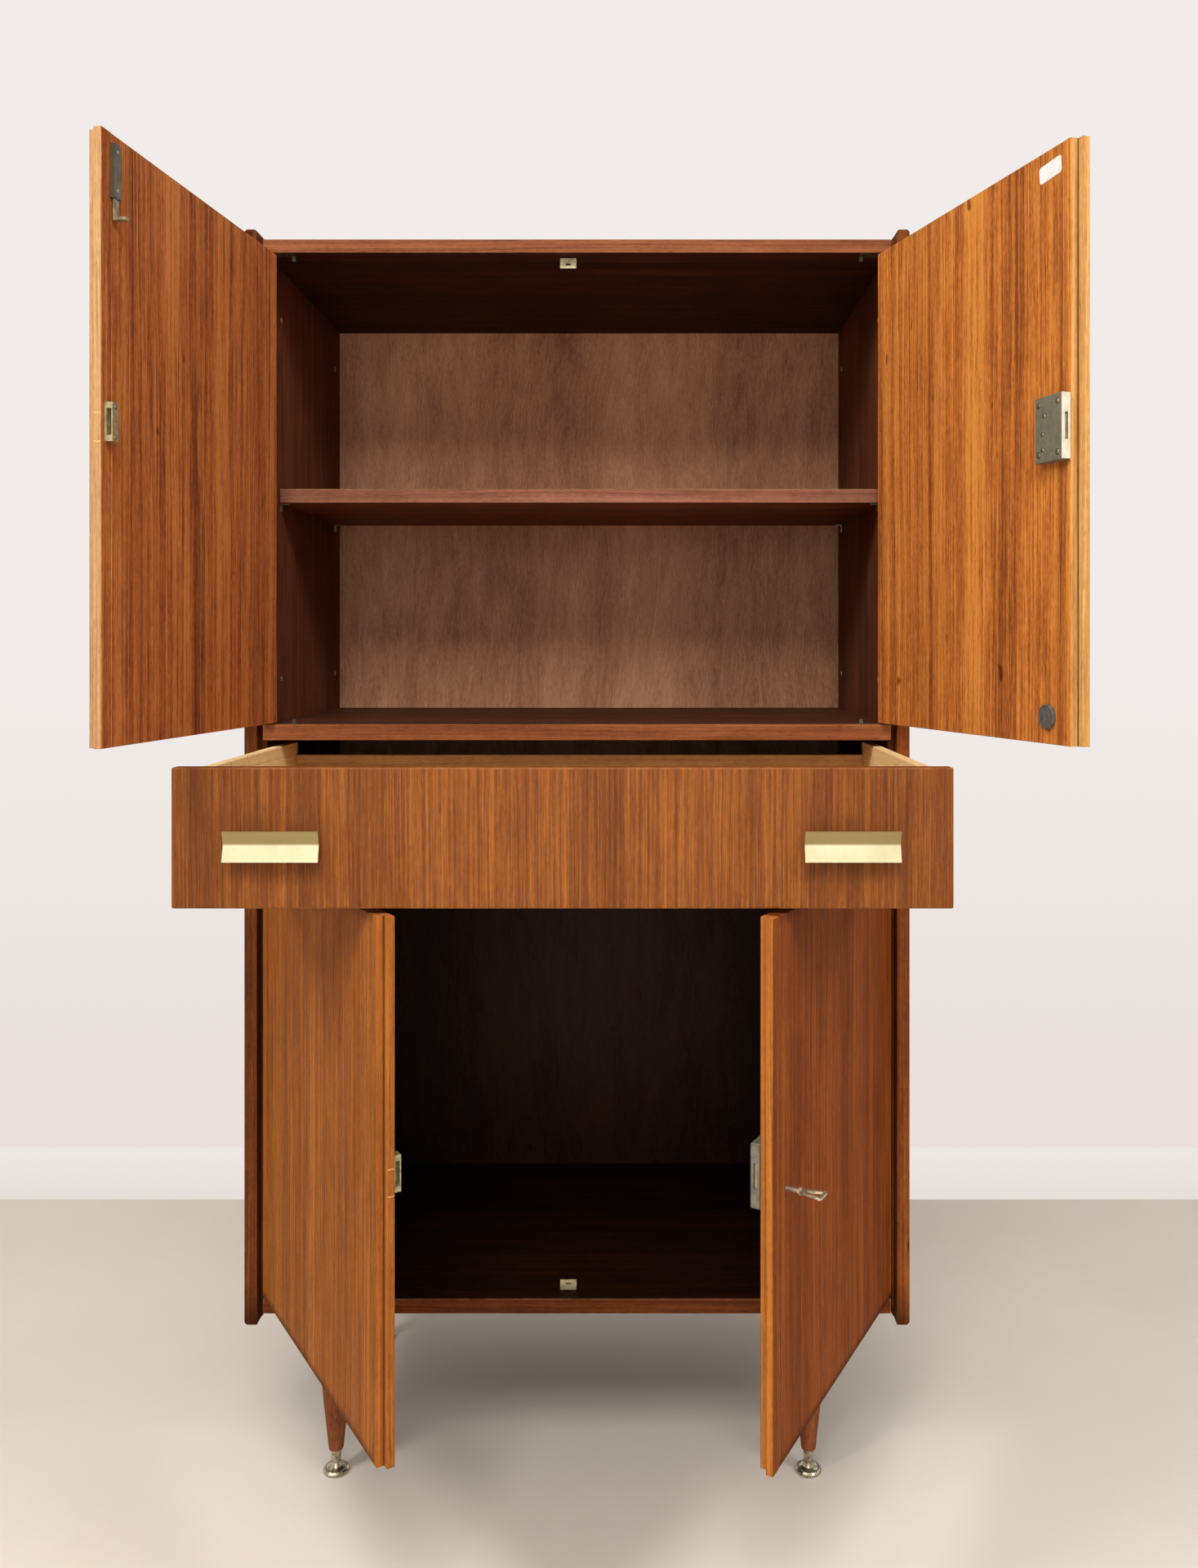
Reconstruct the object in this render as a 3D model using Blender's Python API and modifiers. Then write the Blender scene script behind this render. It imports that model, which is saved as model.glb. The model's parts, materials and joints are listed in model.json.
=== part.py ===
"""Tall cabinet on four turned legs: two pairs of doors with a drawer between them.

Metres, +Z up. The closed cabinet is laid out with its front in the plane Y = 0, its middle
at X = 0 and the floor at Z = 0, then it is moved so that the middle of its box stands on
the origin. Each moving group hangs on an empty that lies on its own axis.
"""
import math

import bmesh
import bpy
from mathutils import Matrix, Vector

# Carcass
WIDTH = 0.900
DEPTH = 0.450
PANEL_T = 0.025
PANEL_FOOT_Z = 0.2335
PANEL_UNDER_BOARD = 0.015
PANEL_OVER_BOARD = 0.0135
PANEL_TOP_CHAMFER = 0.010
PANEL_BOTTOM_CHAMFER = 0.007
PANEL_OUTER_CHAMFER = 0.003
DOOR_REBATE_W = 0.008
DOOR_REBATE_D = 0.022
BOTTOM_T = 0.020
DUST_BOARD_T = 0.018
DIVIDER_T = 0.0215
TOP_T = 0.018
BACK_T = 0.004
BACK_RABBET = 0.008
BOARD_EDGE = 0.0008

# Gaps
FIT = 0.0003
DOOR_END_GAP = 0.002
DOOR_SIDE_GAP = 0.001
MEETING_GAP = 0.001
LIP_GAP = 0.0005
DRAWER_GAP = 0.0035
RUN_GAP = 0.001

# Doors
DOOR_T = 0.018
LOWER_DOOR_H = 0.5915
UPPER_DOOR_H = 0.634
LIP = 0.008
INNER_LIP_T = 0.009
LIPPING_W = 0.010
UPPER_LEFT_OPEN = 97.6
UPPER_RIGHT_OPEN = 107.4
LOWER_LEFT_OPEN = 57.6
LOWER_RIGHT_OPEN = 61.7

# Pivot hinges
PIVOT_IN = 0.0035
PIVOT_BACK = 0.0035
PIN_R = 0.0017
PIN_RISE = 0.009
PIN_PLAY = 0.0004
LEAF_T = 0.0025
LEAF_L = 0.040
LEAF_W = 0.022
LEAF_REACH = 0.018
LEAF_FRONT = 0.0015
LUG_L = 0.005
LUG_H = 0.006

# Drawer
DRAWER_FRONT_H = 0.153
DRAWER_FRONT_T = 0.018
DRAWER_OPEN = 0.340
DRAWER_SIDE_ROOM = 0.0105
DRAWER_SIDE_T = 0.0125
DRAWER_BACK_GAP = 0.0114
DRAWER_BACK_T = 0.012
DRAWER_BOTTOM_T = 0.004
DRAWER_BOTTOM_RISE = 0.007
DRAWER_GROOVE = 0.005
DRAWER_LIFT = 0.004
DRAWER_SIDE_DROP = 0.0055
DRAWER_BACK_DROP = 0.018
RUNNER_H = 0.014
RUNNER_RISE = 0.054
RUNNER_BITE = 0.006
RUNNER_BACK_GAP = 0.006

# Drawer pulls
PULL_L = 0.103
PULL_UPPER = 0.0155
PULL_LOWER = 0.0175
PULL_FLARE = 0.005
PULL_SHEET = 0.0016
PULL_STAND = 0.010
PULL_INSET = 0.1115
PULL_FOLD_RISE = 0.0705
POST_R = 0.004
POST_SPACING = 0.070

# Shelf and its supports
SHELF_T = 0.0195
SHELF_SETBACK = 0.078
SHELF_BACK_GAP = 0.0227
SHELF_RISE = 0.3085
SHELF_SIDE_GAP = 0.001
SUPPORT_INSET = 0.012
SUPPORT_W = 0.010
SUPPORT_TAB = 0.011
SUPPORT_SHEET = 0.0015
SUPPORT_DROP = 0.012
PEG_R = 0.0024
PEG_L = 0.008
PEG_PLAY = 0.0004

# Legs and feet
LEG_INSET_X = 0.1205
LEGS_TO_LEFT = 0.009
LEG_INSET_Y = 0.055
LEG_TOP_R = 0.030
LEG_MID_R = 0.018
LEG_MID_RISE = 0.073
LEG_FOOT_R = 0.010
FOOT_H = 0.033
FOOT_R = 0.0175
FOOT_DISC_H = 0.007
NECK_R = 0.0055
NECK_TOP_R = 0.008
STUD_R = 0.004
STUD_L = 0.020
STUD_PLAY = 0.0004

# Locks and strikes
LOCK_H = 0.070
LOCK_W = 0.046
LOCK_T = 0.0106
UPPER_LOCK_RISE = 0.299
LOWER_LOCK_RISE = 0.277
BOLT_H = 0.0257
BOLT_T = 0.0034
BOLT_L = 0.030
BOLT_PLAY = 0.0004
BOLT_BACKSET = 0.001
BOLT_OFF_FACE = 0.005
BOLT_POCKET_L = 0.034
STRIKE_H = 0.040
STRIKE_W = 0.012
STRIKE_T = 0.0088
STRIKE_SETBACK = 0.005
STRIKE_MOUTH_PLAY = 0.001
STRIKE_FLOOR = 0.002

# Key
KEY_SETBACK = 0.0285
KEY_RISE = 0.0165
KEY_SHANK_R = 0.0025
KEY_PLAY = 0.0006
KEY_SHANK_OUT = 0.015
KEY_COLLAR_R = 0.0042
KEY_COLLAR_L = 0.002
KEY_BOW_L = 0.028
KEY_BOW_NECK_W = 0.007
KEY_BOW_W = 0.0205
KEY_BOW_T = 0.0026
KEY_BOW_RIM = 0.0034
KEY_LOOP_SETBACK = 0.008
KEY_LOOP_NECK_W = 0.0016
KEY_BIT_R = 0.0051
KEY_BIT_T = 0.0022
KEY_BIT_L = 0.005
KEY_BIT_IN = 0.003

# Slide bolts and their keepers
SLIDE_W = 0.013
SLIDE_T = 0.005
SLIDE_L = 0.056
SLIDE_END = 0.0115
SLIDE_SETBACK = 0.0225
ROD_W = 0.008
ROD_T = 0.0024
ROD_TAIL = 0.0195
ROD_LEVER = 0.0125
ROD_LEVER_T = 0.003
SOCKET_W = 0.0096
SOCKET_D = 0.005
SOCKET_DEEP = 0.010
KEEPER_W = 0.022
KEEPER_X = -0.013
KEEPER_LEG = 0.014
KEEPER_FOOT = 0.018
KEEPER_SHEET = 0.0015
KEEPER_SLOT_W = 0.007
KEEPER_SLOT_H = 0.0025
KEEPER_SLOT_RISE = 0.004

# Door pad
PAD_R = 0.0135
PAD_T = 0.003
PAD_SETBACK = 0.038
PAD_RISE = 0.029

# Levels and places that follow from the sizes above
HALF = WIDTH / 2
WALL = HALF - PANEL_T
PANEL_TOP_PLAY = 2 * FIT
BOTTOM_LOW = PANEL_FOOT_Z + PANEL_UNDER_BOARD
BOTTOM_TOP = BOTTOM_LOW + BOTTOM_T
LOWER_DOOR_LOW = BOTTOM_TOP + DOOR_END_GAP
LOWER_DOOR_TOP = LOWER_DOOR_LOW + LOWER_DOOR_H
DUST_LOW = LOWER_DOOR_TOP + DOOR_END_GAP
DUST_TOP = DUST_LOW + DUST_BOARD_T
DRAWER_LOW = DUST_LOW + LEAF_T + RUN_GAP
DRAWER_TOP = DRAWER_LOW + DRAWER_FRONT_H
DIVIDER_LOW = DRAWER_TOP + DRAWER_GAP
DIVIDER_TOP = DIVIDER_LOW + DIVIDER_T
UPPER_DOOR_LOW = DIVIDER_TOP + DOOR_END_GAP
UPPER_DOOR_TOP = UPPER_DOOR_LOW + UPPER_DOOR_H
TOP_LOW = UPPER_DOOR_TOP + DOOR_END_GAP
TOP_TOP = TOP_LOW + TOP_T
PANEL_TOP_Z = TOP_TOP + PANEL_OVER_BOARD
BOARD_BACK = DEPTH - BACK_T - FIT
SHELF_BACK = BOARD_BACK - SHELF_BACK_GAP
PIVOT_X = WALL - PIVOT_IN
LEFT_LIP_X = LIP - MEETING_GAP / 2
RIGHT_END_X = LIP + MEETING_GAP / 2
OVER_CUT = 0.002
ROUND = 20
FINE_ROUND = 32


class Group:
    """Pieces that move together, carried by an empty at a point of the closed cabinet."""

    def __init__(self, name, origin, parent=None):
        self.origin = Vector(origin)
        self.empty = bpy.data.objects.new(name, None)
        self.empty.empty_display_size = 0.03
        parts.objects.link(self.empty)
        if parent:
            self.empty.parent = parent.empty
            self.empty.location = self.origin - parent.origin
        else:
            self.empty.location = self.origin


def clear_scene():
    for thing in list(bpy.data.objects):
        bpy.data.objects.remove(thing, do_unlink=True)


def make_collection(name):
    collection = bpy.data.collections.new(name)
    bpy.context.scene.collection.children.link(collection)
    return collection


def make_material(name, colour, roughness, metallic=0.0):
    material = bpy.data.materials.new(name)
    material.use_nodes = True
    shader = material.node_tree.nodes["Principled BSDF"]
    shader.inputs["Base Color"].default_value = (*colour, 1.0)
    shader.inputs["Roughness"].default_value = roughness
    shader.inputs["Metallic"].default_value = metallic
    return material


def place(name, mesh, material, group, origin=None):
    """Puts a mesh, drawn in the closed cabinet's space, into a group as a named piece."""
    home = Vector(origin) if origin else group.origin
    mesh.transform(Matrix.Translation(-home))
    mesh.name = name
    mesh.materials.append(material)
    piece = bpy.data.objects.new(name, mesh)
    parts.objects.link(piece)
    piece.parent = group.empty
    piece.location = home - group.origin
    return piece


def place_cutter(name, mesh, group):
    mesh.transform(Matrix.Translation(-group.origin))
    cutter = bpy.data.objects.new(name, mesh)
    cutters.objects.link(cutter)
    cutter.parent = group.empty
    cutter.hide_render = True
    cutter.display_type = 'WIRE'
    return cutter


def box_mesh(low, high):
    low = Vector(low)
    high = Vector(high)
    shape = bmesh.new()
    bmesh.ops.create_cube(shape, size=1.0)
    size = high - low
    bmesh.ops.scale(shape, vec=size, verts=shape.verts)
    bmesh.ops.translate(shape, vec=(low + high) / 2, verts=shape.verts)
    mesh = bpy.data.meshes.new("box")
    shape.to_mesh(mesh)
    shape.free()
    return mesh


def rod_mesh(start, end, radius, sides=ROUND, end_radius=None):
    """A round bar, or a cone where its end radius differs."""
    start = Vector(start)
    end = Vector(end)
    run = end - start
    shape = bmesh.new()
    bmesh.ops.create_cone(shape, cap_ends=True, segments=sides, radius1=radius,
                          radius2=radius if end_radius is None else end_radius,
                          depth=run.length)
    turn = Vector((0, 0, 1)).rotation_difference(run).to_matrix().to_4x4()
    bmesh.ops.transform(shape, matrix=Matrix.Translation((start + end) / 2) @ turn,
                        verts=shape.verts)
    mesh = bpy.data.meshes.new("rod")
    shape.to_mesh(mesh)
    shape.free()
    return mesh


def prism_mesh(outline, low, high, axis):
    """An outline drawn as a filled flat curve and given thickness along one axis.

    The outline's two coordinates are the two axes that follow the named axis in turn:
    Y and Z for X, X and Z for Y (seen from the front), X and Y for Z.
    """
    curve = bpy.data.curves.new("outline", 'CURVE')
    curve.dimensions = '2D'
    curve.fill_mode = 'BOTH'
    curve.extrude = (high - low) / 2
    spline = curve.splines.new('POLY')
    spline.points.add(len(outline) - 1)
    for point, (across, along) in zip(spline.points, outline):
        point.co = (across, along, 0, 1)
    spline.use_cyclic_u = True
    holder = bpy.data.objects.new("outline", curve)
    bpy.context.scene.collection.objects.link(holder)
    graph = bpy.context.evaluated_depsgraph_get()
    mesh = bpy.data.meshes.new_from_object(holder.evaluated_get(graph))
    bpy.data.objects.remove(holder, do_unlink=True)
    middle = (low + high) / 2
    turns = {
        'X': Matrix(((0, 0, 1, middle), (1, 0, 0, 0), (0, 1, 0, 0), (0, 0, 0, 1))),
        'Y': Matrix(((1, 0, 0, 0), (0, 0, -1, middle), (0, 1, 0, 0), (0, 0, 0, 1))),
        'Z': Matrix(((1, 0, 0, 0), (0, 1, 0, 0), (0, 0, 1, middle), (0, 0, 0, 1))),
    }
    mesh.transform(turns[axis])
    shape = bmesh.new()
    shape.from_mesh(mesh)
    bmesh.ops.remove_doubles(shape, verts=shape.verts, dist=0.00001)
    bmesh.ops.recalc_face_normals(shape, faces=shape.faces)
    shape.to_mesh(mesh)
    shape.free()
    return mesh


def combine(piece, cutter, operation):
    step = piece.modifiers.new(operation.lower(), 'BOOLEAN')
    step.operation = operation
    step.solver = 'EXACT'
    step.object = cutter


def cut_box(piece, group, low, high):
    combine(piece, place_cutter(piece.name + "_cut", box_mesh(low, high), group), 'DIFFERENCE')


def cut_round(piece, group, start, end, radius, sides=ROUND):
    cutter = place_cutter(piece.name + "_bore", rod_mesh(start, end, radius, sides), group)
    combine(piece, cutter, 'DIFFERENCE')


def join_mesh(piece, group, mesh):
    combine(piece, place_cutter(piece.name + "_join", mesh, group), 'UNION')


def soften(piece, width, segments=1):
    edge = piece.modifiers.new("soft edges", 'BEVEL')
    edge.width = width
    edge.segments = segments
    edge.limit_method = 'ANGLE'
    edge.angle_limit = math.radians(40)


def board(name, low, high, material, group, edge=BOARD_EDGE):
    piece = place(name, box_mesh(low, high), material, group)
    soften(piece, edge)
    return piece


def turned(name, profile, material, group, origin):
    """A piece turned about an upright axis: the profile runs down its outer side."""
    mesh = bpy.data.meshes.new(name)
    points = [(radius, 0.0, height) for radius, height in profile]
    edges = [(i, i + 1) for i in range(len(points) - 1)]
    mesh.from_pydata(points, edges, [])
    mesh.transform(Matrix.Translation(origin))
    piece = place(name, mesh, material, group, origin)
    screw = piece.modifiers.new("turn", 'SCREW')
    screw.axis = 'Z'
    screw.steps = FINE_ROUND
    screw.render_steps = FINE_ROUND
    screw.use_merge_vertices = True
    screw.merge_threshold = 0.00001
    return piece


def side_panel(side):
    """A side with chamfered ends, a full-height rebate for the doors and one for the back."""
    name = "side_panel_left" if side < 0 else "side_panel_right"
    outline = [
        (HALF, PANEL_FOOT_Z + PANEL_OUTER_CHAMFER),
        (HALF, PANEL_TOP_Z - PANEL_OUTER_CHAMFER),
        (HALF - PANEL_OUTER_CHAMFER, PANEL_TOP_Z),
        (WALL + PANEL_TOP_CHAMFER, PANEL_TOP_Z),
        (WALL, TOP_TOP),
        (WALL, BOTTOM_LOW),
        (WALL + PANEL_BOTTOM_CHAMFER, PANEL_FOOT_Z),
        (HALF - PANEL_OUTER_CHAMFER, PANEL_FOOT_Z),
    ]
    outline = [(side * across, height) for across, height in outline]
    piece = place(name, prism_mesh(outline, 0.0, DEPTH, 'Y'), wood_dark, carcass)
    soften(piece, BOARD_EDGE)
    low_x, high_x = sorted((side * (WALL - OVER_CUT), side * (WALL + DOOR_REBATE_W)))
    cut_box(piece, carcass, (low_x, -OVER_CUT, PANEL_FOOT_Z - OVER_CUT),
            (high_x, DOOR_REBATE_D, PANEL_TOP_Z + OVER_CUT))
    low_x, high_x = sorted((side * (WALL - OVER_CUT), side * (WALL + BACK_RABBET + FIT)))
    cut_box(piece, carcass, (low_x, BOARD_BACK, PANEL_FOOT_Z - OVER_CUT),
            (high_x, DEPTH + OVER_CUT, PANEL_TOP_Z + OVER_CUT))
    for y in support_rows():
        cut_round(piece, carcass, (side * (WALL - OVER_CUT), y, support_peg_z()),
                  (side * (WALL + PEG_L + RUN_GAP), y, support_peg_z()), PEG_R + PEG_PLAY)
    return piece


def carcass_boards():
    inner = WALL - FIT
    bottom = board("bottom_board", (-inner, 0, BOTTOM_LOW), (inner, BOARD_BACK, BOTTOM_TOP),
                   wood_board, carcass)
    dust = board("dust_board", (-inner, DRAWER_FRONT_T + RUN_GAP, DUST_LOW),
                 (inner, BOARD_BACK, DUST_TOP), wood_board, carcass)
    divider = board("divider_board", (-inner, 0, DIVIDER_LOW),
                    (inner, BOARD_BACK, DIVIDER_TOP), wood_board, carcass)
    top = board("top_board", (-inner, 0, TOP_LOW), (inner, BOARD_BACK, TOP_TOP),
                wood_board, carcass)
    back_half = WALL + BACK_RABBET
    place("back_panel", box_mesh((-back_half, DEPTH - BACK_T, BOTTOM_LOW),
                                 (back_half, DEPTH, TOP_TOP)), plywood, carcass)
    return bottom, dust, divider, top


def leaf_span(side):
    return sorted((side * (WALL - FIT), side * (WALL - FIT - LEAF_L)))


def pivot_leaf(name, side, face_z, up, reach, host):
    """The fixed half of a pivot hinge: a plate let in flush, with its pin and a stop lug."""
    low_x, high_x = leaf_span(side)
    far_y = LEAF_FRONT + LEAF_W + reach
    buried = face_z - up * LEAF_T
    low_z, high_z = sorted((buried, face_z))
    leaf = place(name, box_mesh((low_x, LEAF_FRONT, low_z), (high_x, far_y, high_z)),
                 steel, carcass)
    root = (side * PIVOT_X, PIVOT_BACK, buried + up * FIT)
    tip = (side * PIVOT_X, PIVOT_BACK, face_z + up * PIN_RISE)
    join_mesh(leaf, carcass, rod_mesh(root, tip, PIN_R, 16))
    lug_x = sorted((side * (WALL - LEAF_L + LUG_L), side * (WALL - LEAF_L + FIT)))
    lug_z = sorted((buried + up * FIT, face_z + up * LUG_H))
    lug_y = DOOR_T + LIP_GAP
    join_mesh(leaf, carcass, box_mesh((lug_x[0], lug_y, lug_z[0]),
                                      (lug_x[1], LEAF_FRONT + LEAF_W - FIT, lug_z[1])))
    recess_z = sorted((buried - up * FIT, face_z + up * OVER_CUT))
    recess_x = sorted((side * (WALL + OVER_CUT), side * (WALL - 2 * FIT - LEAF_L)))
    cut_box(host, carcass, (recess_x[0], LEAF_FRONT - FIT, recess_z[0]),
            (recess_x[1], far_y + FIT, recess_z[1]))


def keeper(name, face_z, up):
    """An angle plate on a board's face, behind the closed doors, beside the bolt's socket."""
    front = DOOR_T + FIT + SLIDE_T + 2 * FIT
    low_x = KEEPER_X - KEEPER_W / 2
    high_x = KEEPER_X + KEEPER_W / 2
    near = face_z + up * FIT
    leg_z = sorted((near, face_z + up * KEEPER_LEG))
    foot_z = sorted((near, near + up * KEEPER_SHEET))
    piece = place(name, box_mesh((low_x, front, leg_z[0]),
                                 (high_x, front + KEEPER_SHEET, leg_z[1])), brass, carcass)
    join_mesh(piece, carcass, box_mesh((low_x, front + KEEPER_SHEET / 2, foot_z[0]),
                                       (high_x, front + KEEPER_FOOT, foot_z[1])))
    slot_edge = face_z + up * (KEEPER_LEG - KEEPER_SLOT_RISE)
    slot_z = sorted((slot_edge, slot_edge - up * KEEPER_SLOT_H))
    cut_box(piece, carcass,
            (KEEPER_X - KEEPER_SLOT_W / 2, front - OVER_CUT, slot_z[0]),
            (KEEPER_X + KEEPER_SLOT_W / 2, front + KEEPER_SHEET + OVER_CUT, slot_z[1]))


def slide_centre_x():
    return LEFT_LIP_X - SLIDE_SETBACK


def rod_middle_y():
    return DOOR_T + FIT + SLIDE_T / 2


def bolt_socket(host, face_z, up):
    """The pocket in a board that a slide bolt's rod shoots into."""
    z = sorted((face_z + up * OVER_CUT, face_z - up * SOCKET_DEEP))
    x = slide_centre_x()
    y = rod_middle_y()
    cut_box(host, carcass, (x - SOCKET_W / 2, y - SOCKET_D / 2, z[0]),
            (x + SOCKET_W / 2, y + SOCKET_D / 2, z[1]))


def support_rows():
    front = SHELF_SETBACK + SUPPORT_INSET
    return front, SHELF_BACK - SUPPORT_INSET


def shelf_low():
    return DIVIDER_TOP + SHELF_RISE


def support_peg_z():
    return shelf_low() - FIT - SUPPORT_DROP / 2


def shelf_support(name, side, y):
    """A peg in the side with an angle tab that the shelf lies on."""
    top_z = shelf_low() - FIT
    wall_x = side * (WALL - FIT)
    plate_x = sorted((wall_x, side * (WALL - FIT - SUPPORT_SHEET)))
    piece = place(name, box_mesh((plate_x[0], y - SUPPORT_W / 2, top_z - SUPPORT_DROP),
                                 (plate_x[1], y + SUPPORT_W / 2, top_z)), steel, carcass)
    tab_x = sorted((side * (WALL - FIT - SUPPORT_SHEET / 2), side * (WALL - FIT - SUPPORT_TAB)))
    join_mesh(piece, carcass, box_mesh((tab_x[0], y - SUPPORT_W / 2, top_z - SUPPORT_SHEET),
                                       (tab_x[1], y + SUPPORT_W / 2, top_z)))
    join_mesh(piece, carcass, rod_mesh((side * (WALL - FIT - SUPPORT_SHEET / 2), y, support_peg_z()),
                                       (side * (WALL + PEG_L), y, support_peg_z()), PEG_R, 16))


def leg_places():
    xs = {"left": -(HALF - LEG_INSET_X) - LEGS_TO_LEFT,
          "right": HALF - LEG_INSET_X - LEGS_TO_LEFT}
    ys = {"front": LEG_INSET_Y, "rear": DEPTH - LEG_INSET_Y}
    return [(f"{end}_{hand}", xs[hand], ys[end]) for end in ys for hand in xs]


def leg(name, x, y):
    """A turned leg that swells towards the top, bored from below for the foot's stud."""
    height = BOTTOM_LOW - FIT - FOOT_H - FIT
    bore = STUD_R + STUD_PLAY
    bore_top = STUD_L + RUN_GAP
    profile = [(0.0, height), (LEG_TOP_R, height), (LEG_MID_R, LEG_MID_RISE),
               (LEG_FOOT_R, 0.0), (bore, 0.0), (bore, bore_top), (0.0, bore_top)]
    turned("leg_" + name, profile, wood_dark, carcass, (x, y, FOOT_H + FIT))


def foot(name, x, y):
    """A metal glide with a disc, a flared neck and a stud that screws up into the leg."""
    group = Group("foot_axis_" + name, (x, y, 0), carcass)
    edge = FOOT_DISC_H * 0.3
    profile = [(0.0, FOOT_H + STUD_L), (STUD_R, FOOT_H + STUD_L), (STUD_R, FOOT_H),
               (NECK_TOP_R, FOOT_H), (NECK_R, FOOT_DISC_H * 2), (NECK_R * 1.5, FOOT_DISC_H * 1.3),
               (FOOT_R * 0.75, FOOT_DISC_H), (FOOT_R - edge, FOOT_DISC_H),
               (FOOT_R, FOOT_DISC_H - edge), (FOOT_R, edge), (FOOT_R - edge, 0.0), (0.0, 0.0)]
    turned("foot_" + name, profile, steel, group, (x, y, 0))


def lipping_joint_x(side):
    """Where a door's veneered board meets its lipping."""
    if side < 0:
        return -MEETING_GAP / 2 - LIPPING_W
    return RIGHT_END_X + LIPPING_W


def lipping_outline(side):
    """The stepped strip on a door's free edge: its lip laps the other door's lip."""
    joint = lipping_joint_x(side)
    outer = side * MEETING_GAP / 2
    if side < 0:
        step = DOOR_T - INNER_LIP_T
        return [(joint, 0), (outer, 0), (outer, step), (LEFT_LIP_X, step),
                (LEFT_LIP_X, DOOR_T), (joint, DOOR_T)]
    step = DOOR_T - INNER_LIP_T - LIP_GAP
    return [(joint, 0), (outer, 0), (outer, step), (RIGHT_END_X, step),
            (RIGHT_END_X, DOOR_T), (joint, DOOR_T)]


def door(name, side, low_z, high_z, opening):
    """A door on two end pivots, with the lipping on its free edge, turned to its rest angle."""
    group = Group("pivot_" + name, (side * PIVOT_X, PIVOT_BACK, low_z), carcass)
    group.empty.rotation_euler = (0, 0, side * math.radians(opening))
    x = sorted((lipping_joint_x(side) + side * FIT, side * (WALL - DOOR_SIDE_GAP)))
    leaf = board("door_" + name, (x[0], 0, low_z), (x[1], DOOR_T, high_z), veneer, group)
    for end_z, inward in ((low_z, 1), (high_z, -1)):
        cut_round(leaf, group, (side * PIVOT_X, PIVOT_BACK, end_z - inward * OVER_CUT),
                  (side * PIVOT_X, PIVOT_BACK, end_z + inward * PIN_RISE), PIN_R + PIN_PLAY, 16)
    strip = place("lipping_" + name,
                  prism_mesh(lipping_outline(side), low_z, high_z, 'Z'), lipping_wood, group)
    soften(strip, BOARD_EDGE / 2)
    return group, leaf


def lock(name, group, low_z):
    """A rim lock on a right door: its case, and the bolt that shoots towards the left door."""
    end_x = RIGHT_END_X
    near = DOOR_T + FIT
    case = place(name + "_lock_case", box_mesh((end_x, near, low_z),
                                               (end_x + LOCK_W, near + LOCK_T, low_z + LOCK_H)),
                 steel, group)
    soften(case, 0.0006)
    bolt_y = near + BOLT_OFF_FACE
    bolt_z = low_z + LOCK_H / 2
    half_t = BOLT_T / 2 + BOLT_PLAY
    half_h = BOLT_H / 2 + BOLT_PLAY
    cut_box(case, group, (end_x - OVER_CUT, bolt_y - half_t, bolt_z - half_h),
            (end_x + BOLT_POCKET_L, bolt_y + half_t, bolt_z + half_h))
    start = end_x + BOLT_BACKSET
    place(name + "_lock_bolt",
          box_mesh((start, bolt_y - BOLT_T / 2, bolt_z - BOLT_H / 2),
                   (start + BOLT_L, bolt_y + BOLT_T / 2, bolt_z + BOLT_H / 2)),
          steel, group, (start, bolt_y, bolt_z))
    return case, bolt_z


def strike(name, group, bolt_z):
    """A box strike on a left door, with a mouth for the lock's bolt."""
    end_x = LEFT_LIP_X - STRIKE_SETBACK
    near = DOOR_T + FIT
    piece = place(name + "_strike", box_mesh((end_x - STRIKE_W, near, bolt_z - STRIKE_H / 2),
                                             (end_x, near + STRIKE_T, bolt_z + STRIKE_H / 2)),
                  steel, group)
    half_t = BOLT_T / 2 + STRIKE_MOUTH_PLAY
    half_h = BOLT_H / 2 + STRIKE_MOUTH_PLAY
    mouth_y = near + BOLT_OFF_FACE
    cut_box(piece, group,
            (end_x - STRIKE_W + STRIKE_FLOOR, mouth_y - half_t, bolt_z - half_h),
            (end_x + OVER_CUT, mouth_y + half_t, bolt_z + half_h))


def slide_bolt(name, group, end_z, up, lever_out):
    """A surface bolt at a left door's end: a flat housing and the rod that runs in it.
    Its lever stands out from the door, or else lies flat along it towards the hinges."""
    x = slide_centre_x()
    near = DOOR_T + FIT
    first = end_z - up * SLIDE_END
    last = first - up * SLIDE_L
    z = sorted((first, last))
    housing = place(name + "_slide_housing",
                    box_mesh((x - SLIDE_W / 2, near, z[0]), (x + SLIDE_W / 2, near + SLIDE_T, z[1])),
                    steel, group)
    middle = rod_middle_y()
    cut_box(housing, group,
            (x - ROD_W / 2 - FIT, middle - ROD_T / 2 - FIT, z[0] - OVER_CUT),
            (x + ROD_W / 2 + FIT, middle + ROD_T / 2 + FIT, z[1] + OVER_CUT))
    tail = last - up * (ROD_TAIL + ROD_LEVER_T)
    rod_z = sorted((first - up * FIT, tail))
    rod = place(name + "_slide_rod",
                box_mesh((x - ROD_W / 2, middle - ROD_T / 2, rod_z[0]),
                         (x + ROD_W / 2, middle + ROD_T / 2, rod_z[1])),
                steel, group, (x, middle, first))
    lever_z = sorted((tail, tail + up * ROD_LEVER_T))
    if lever_out:
        lever = box_mesh((x - ROD_W / 2, middle, lever_z[0]),
                         (x + ROD_W / 2, middle + ROD_LEVER, lever_z[1]))
    else:
        lever = box_mesh((x - ROD_LEVER, middle - ROD_T / 2, lever_z[0]),
                         (x, middle + ROD_T / 2, lever_z[1]))
    join_mesh(rod, group, lever)


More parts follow.
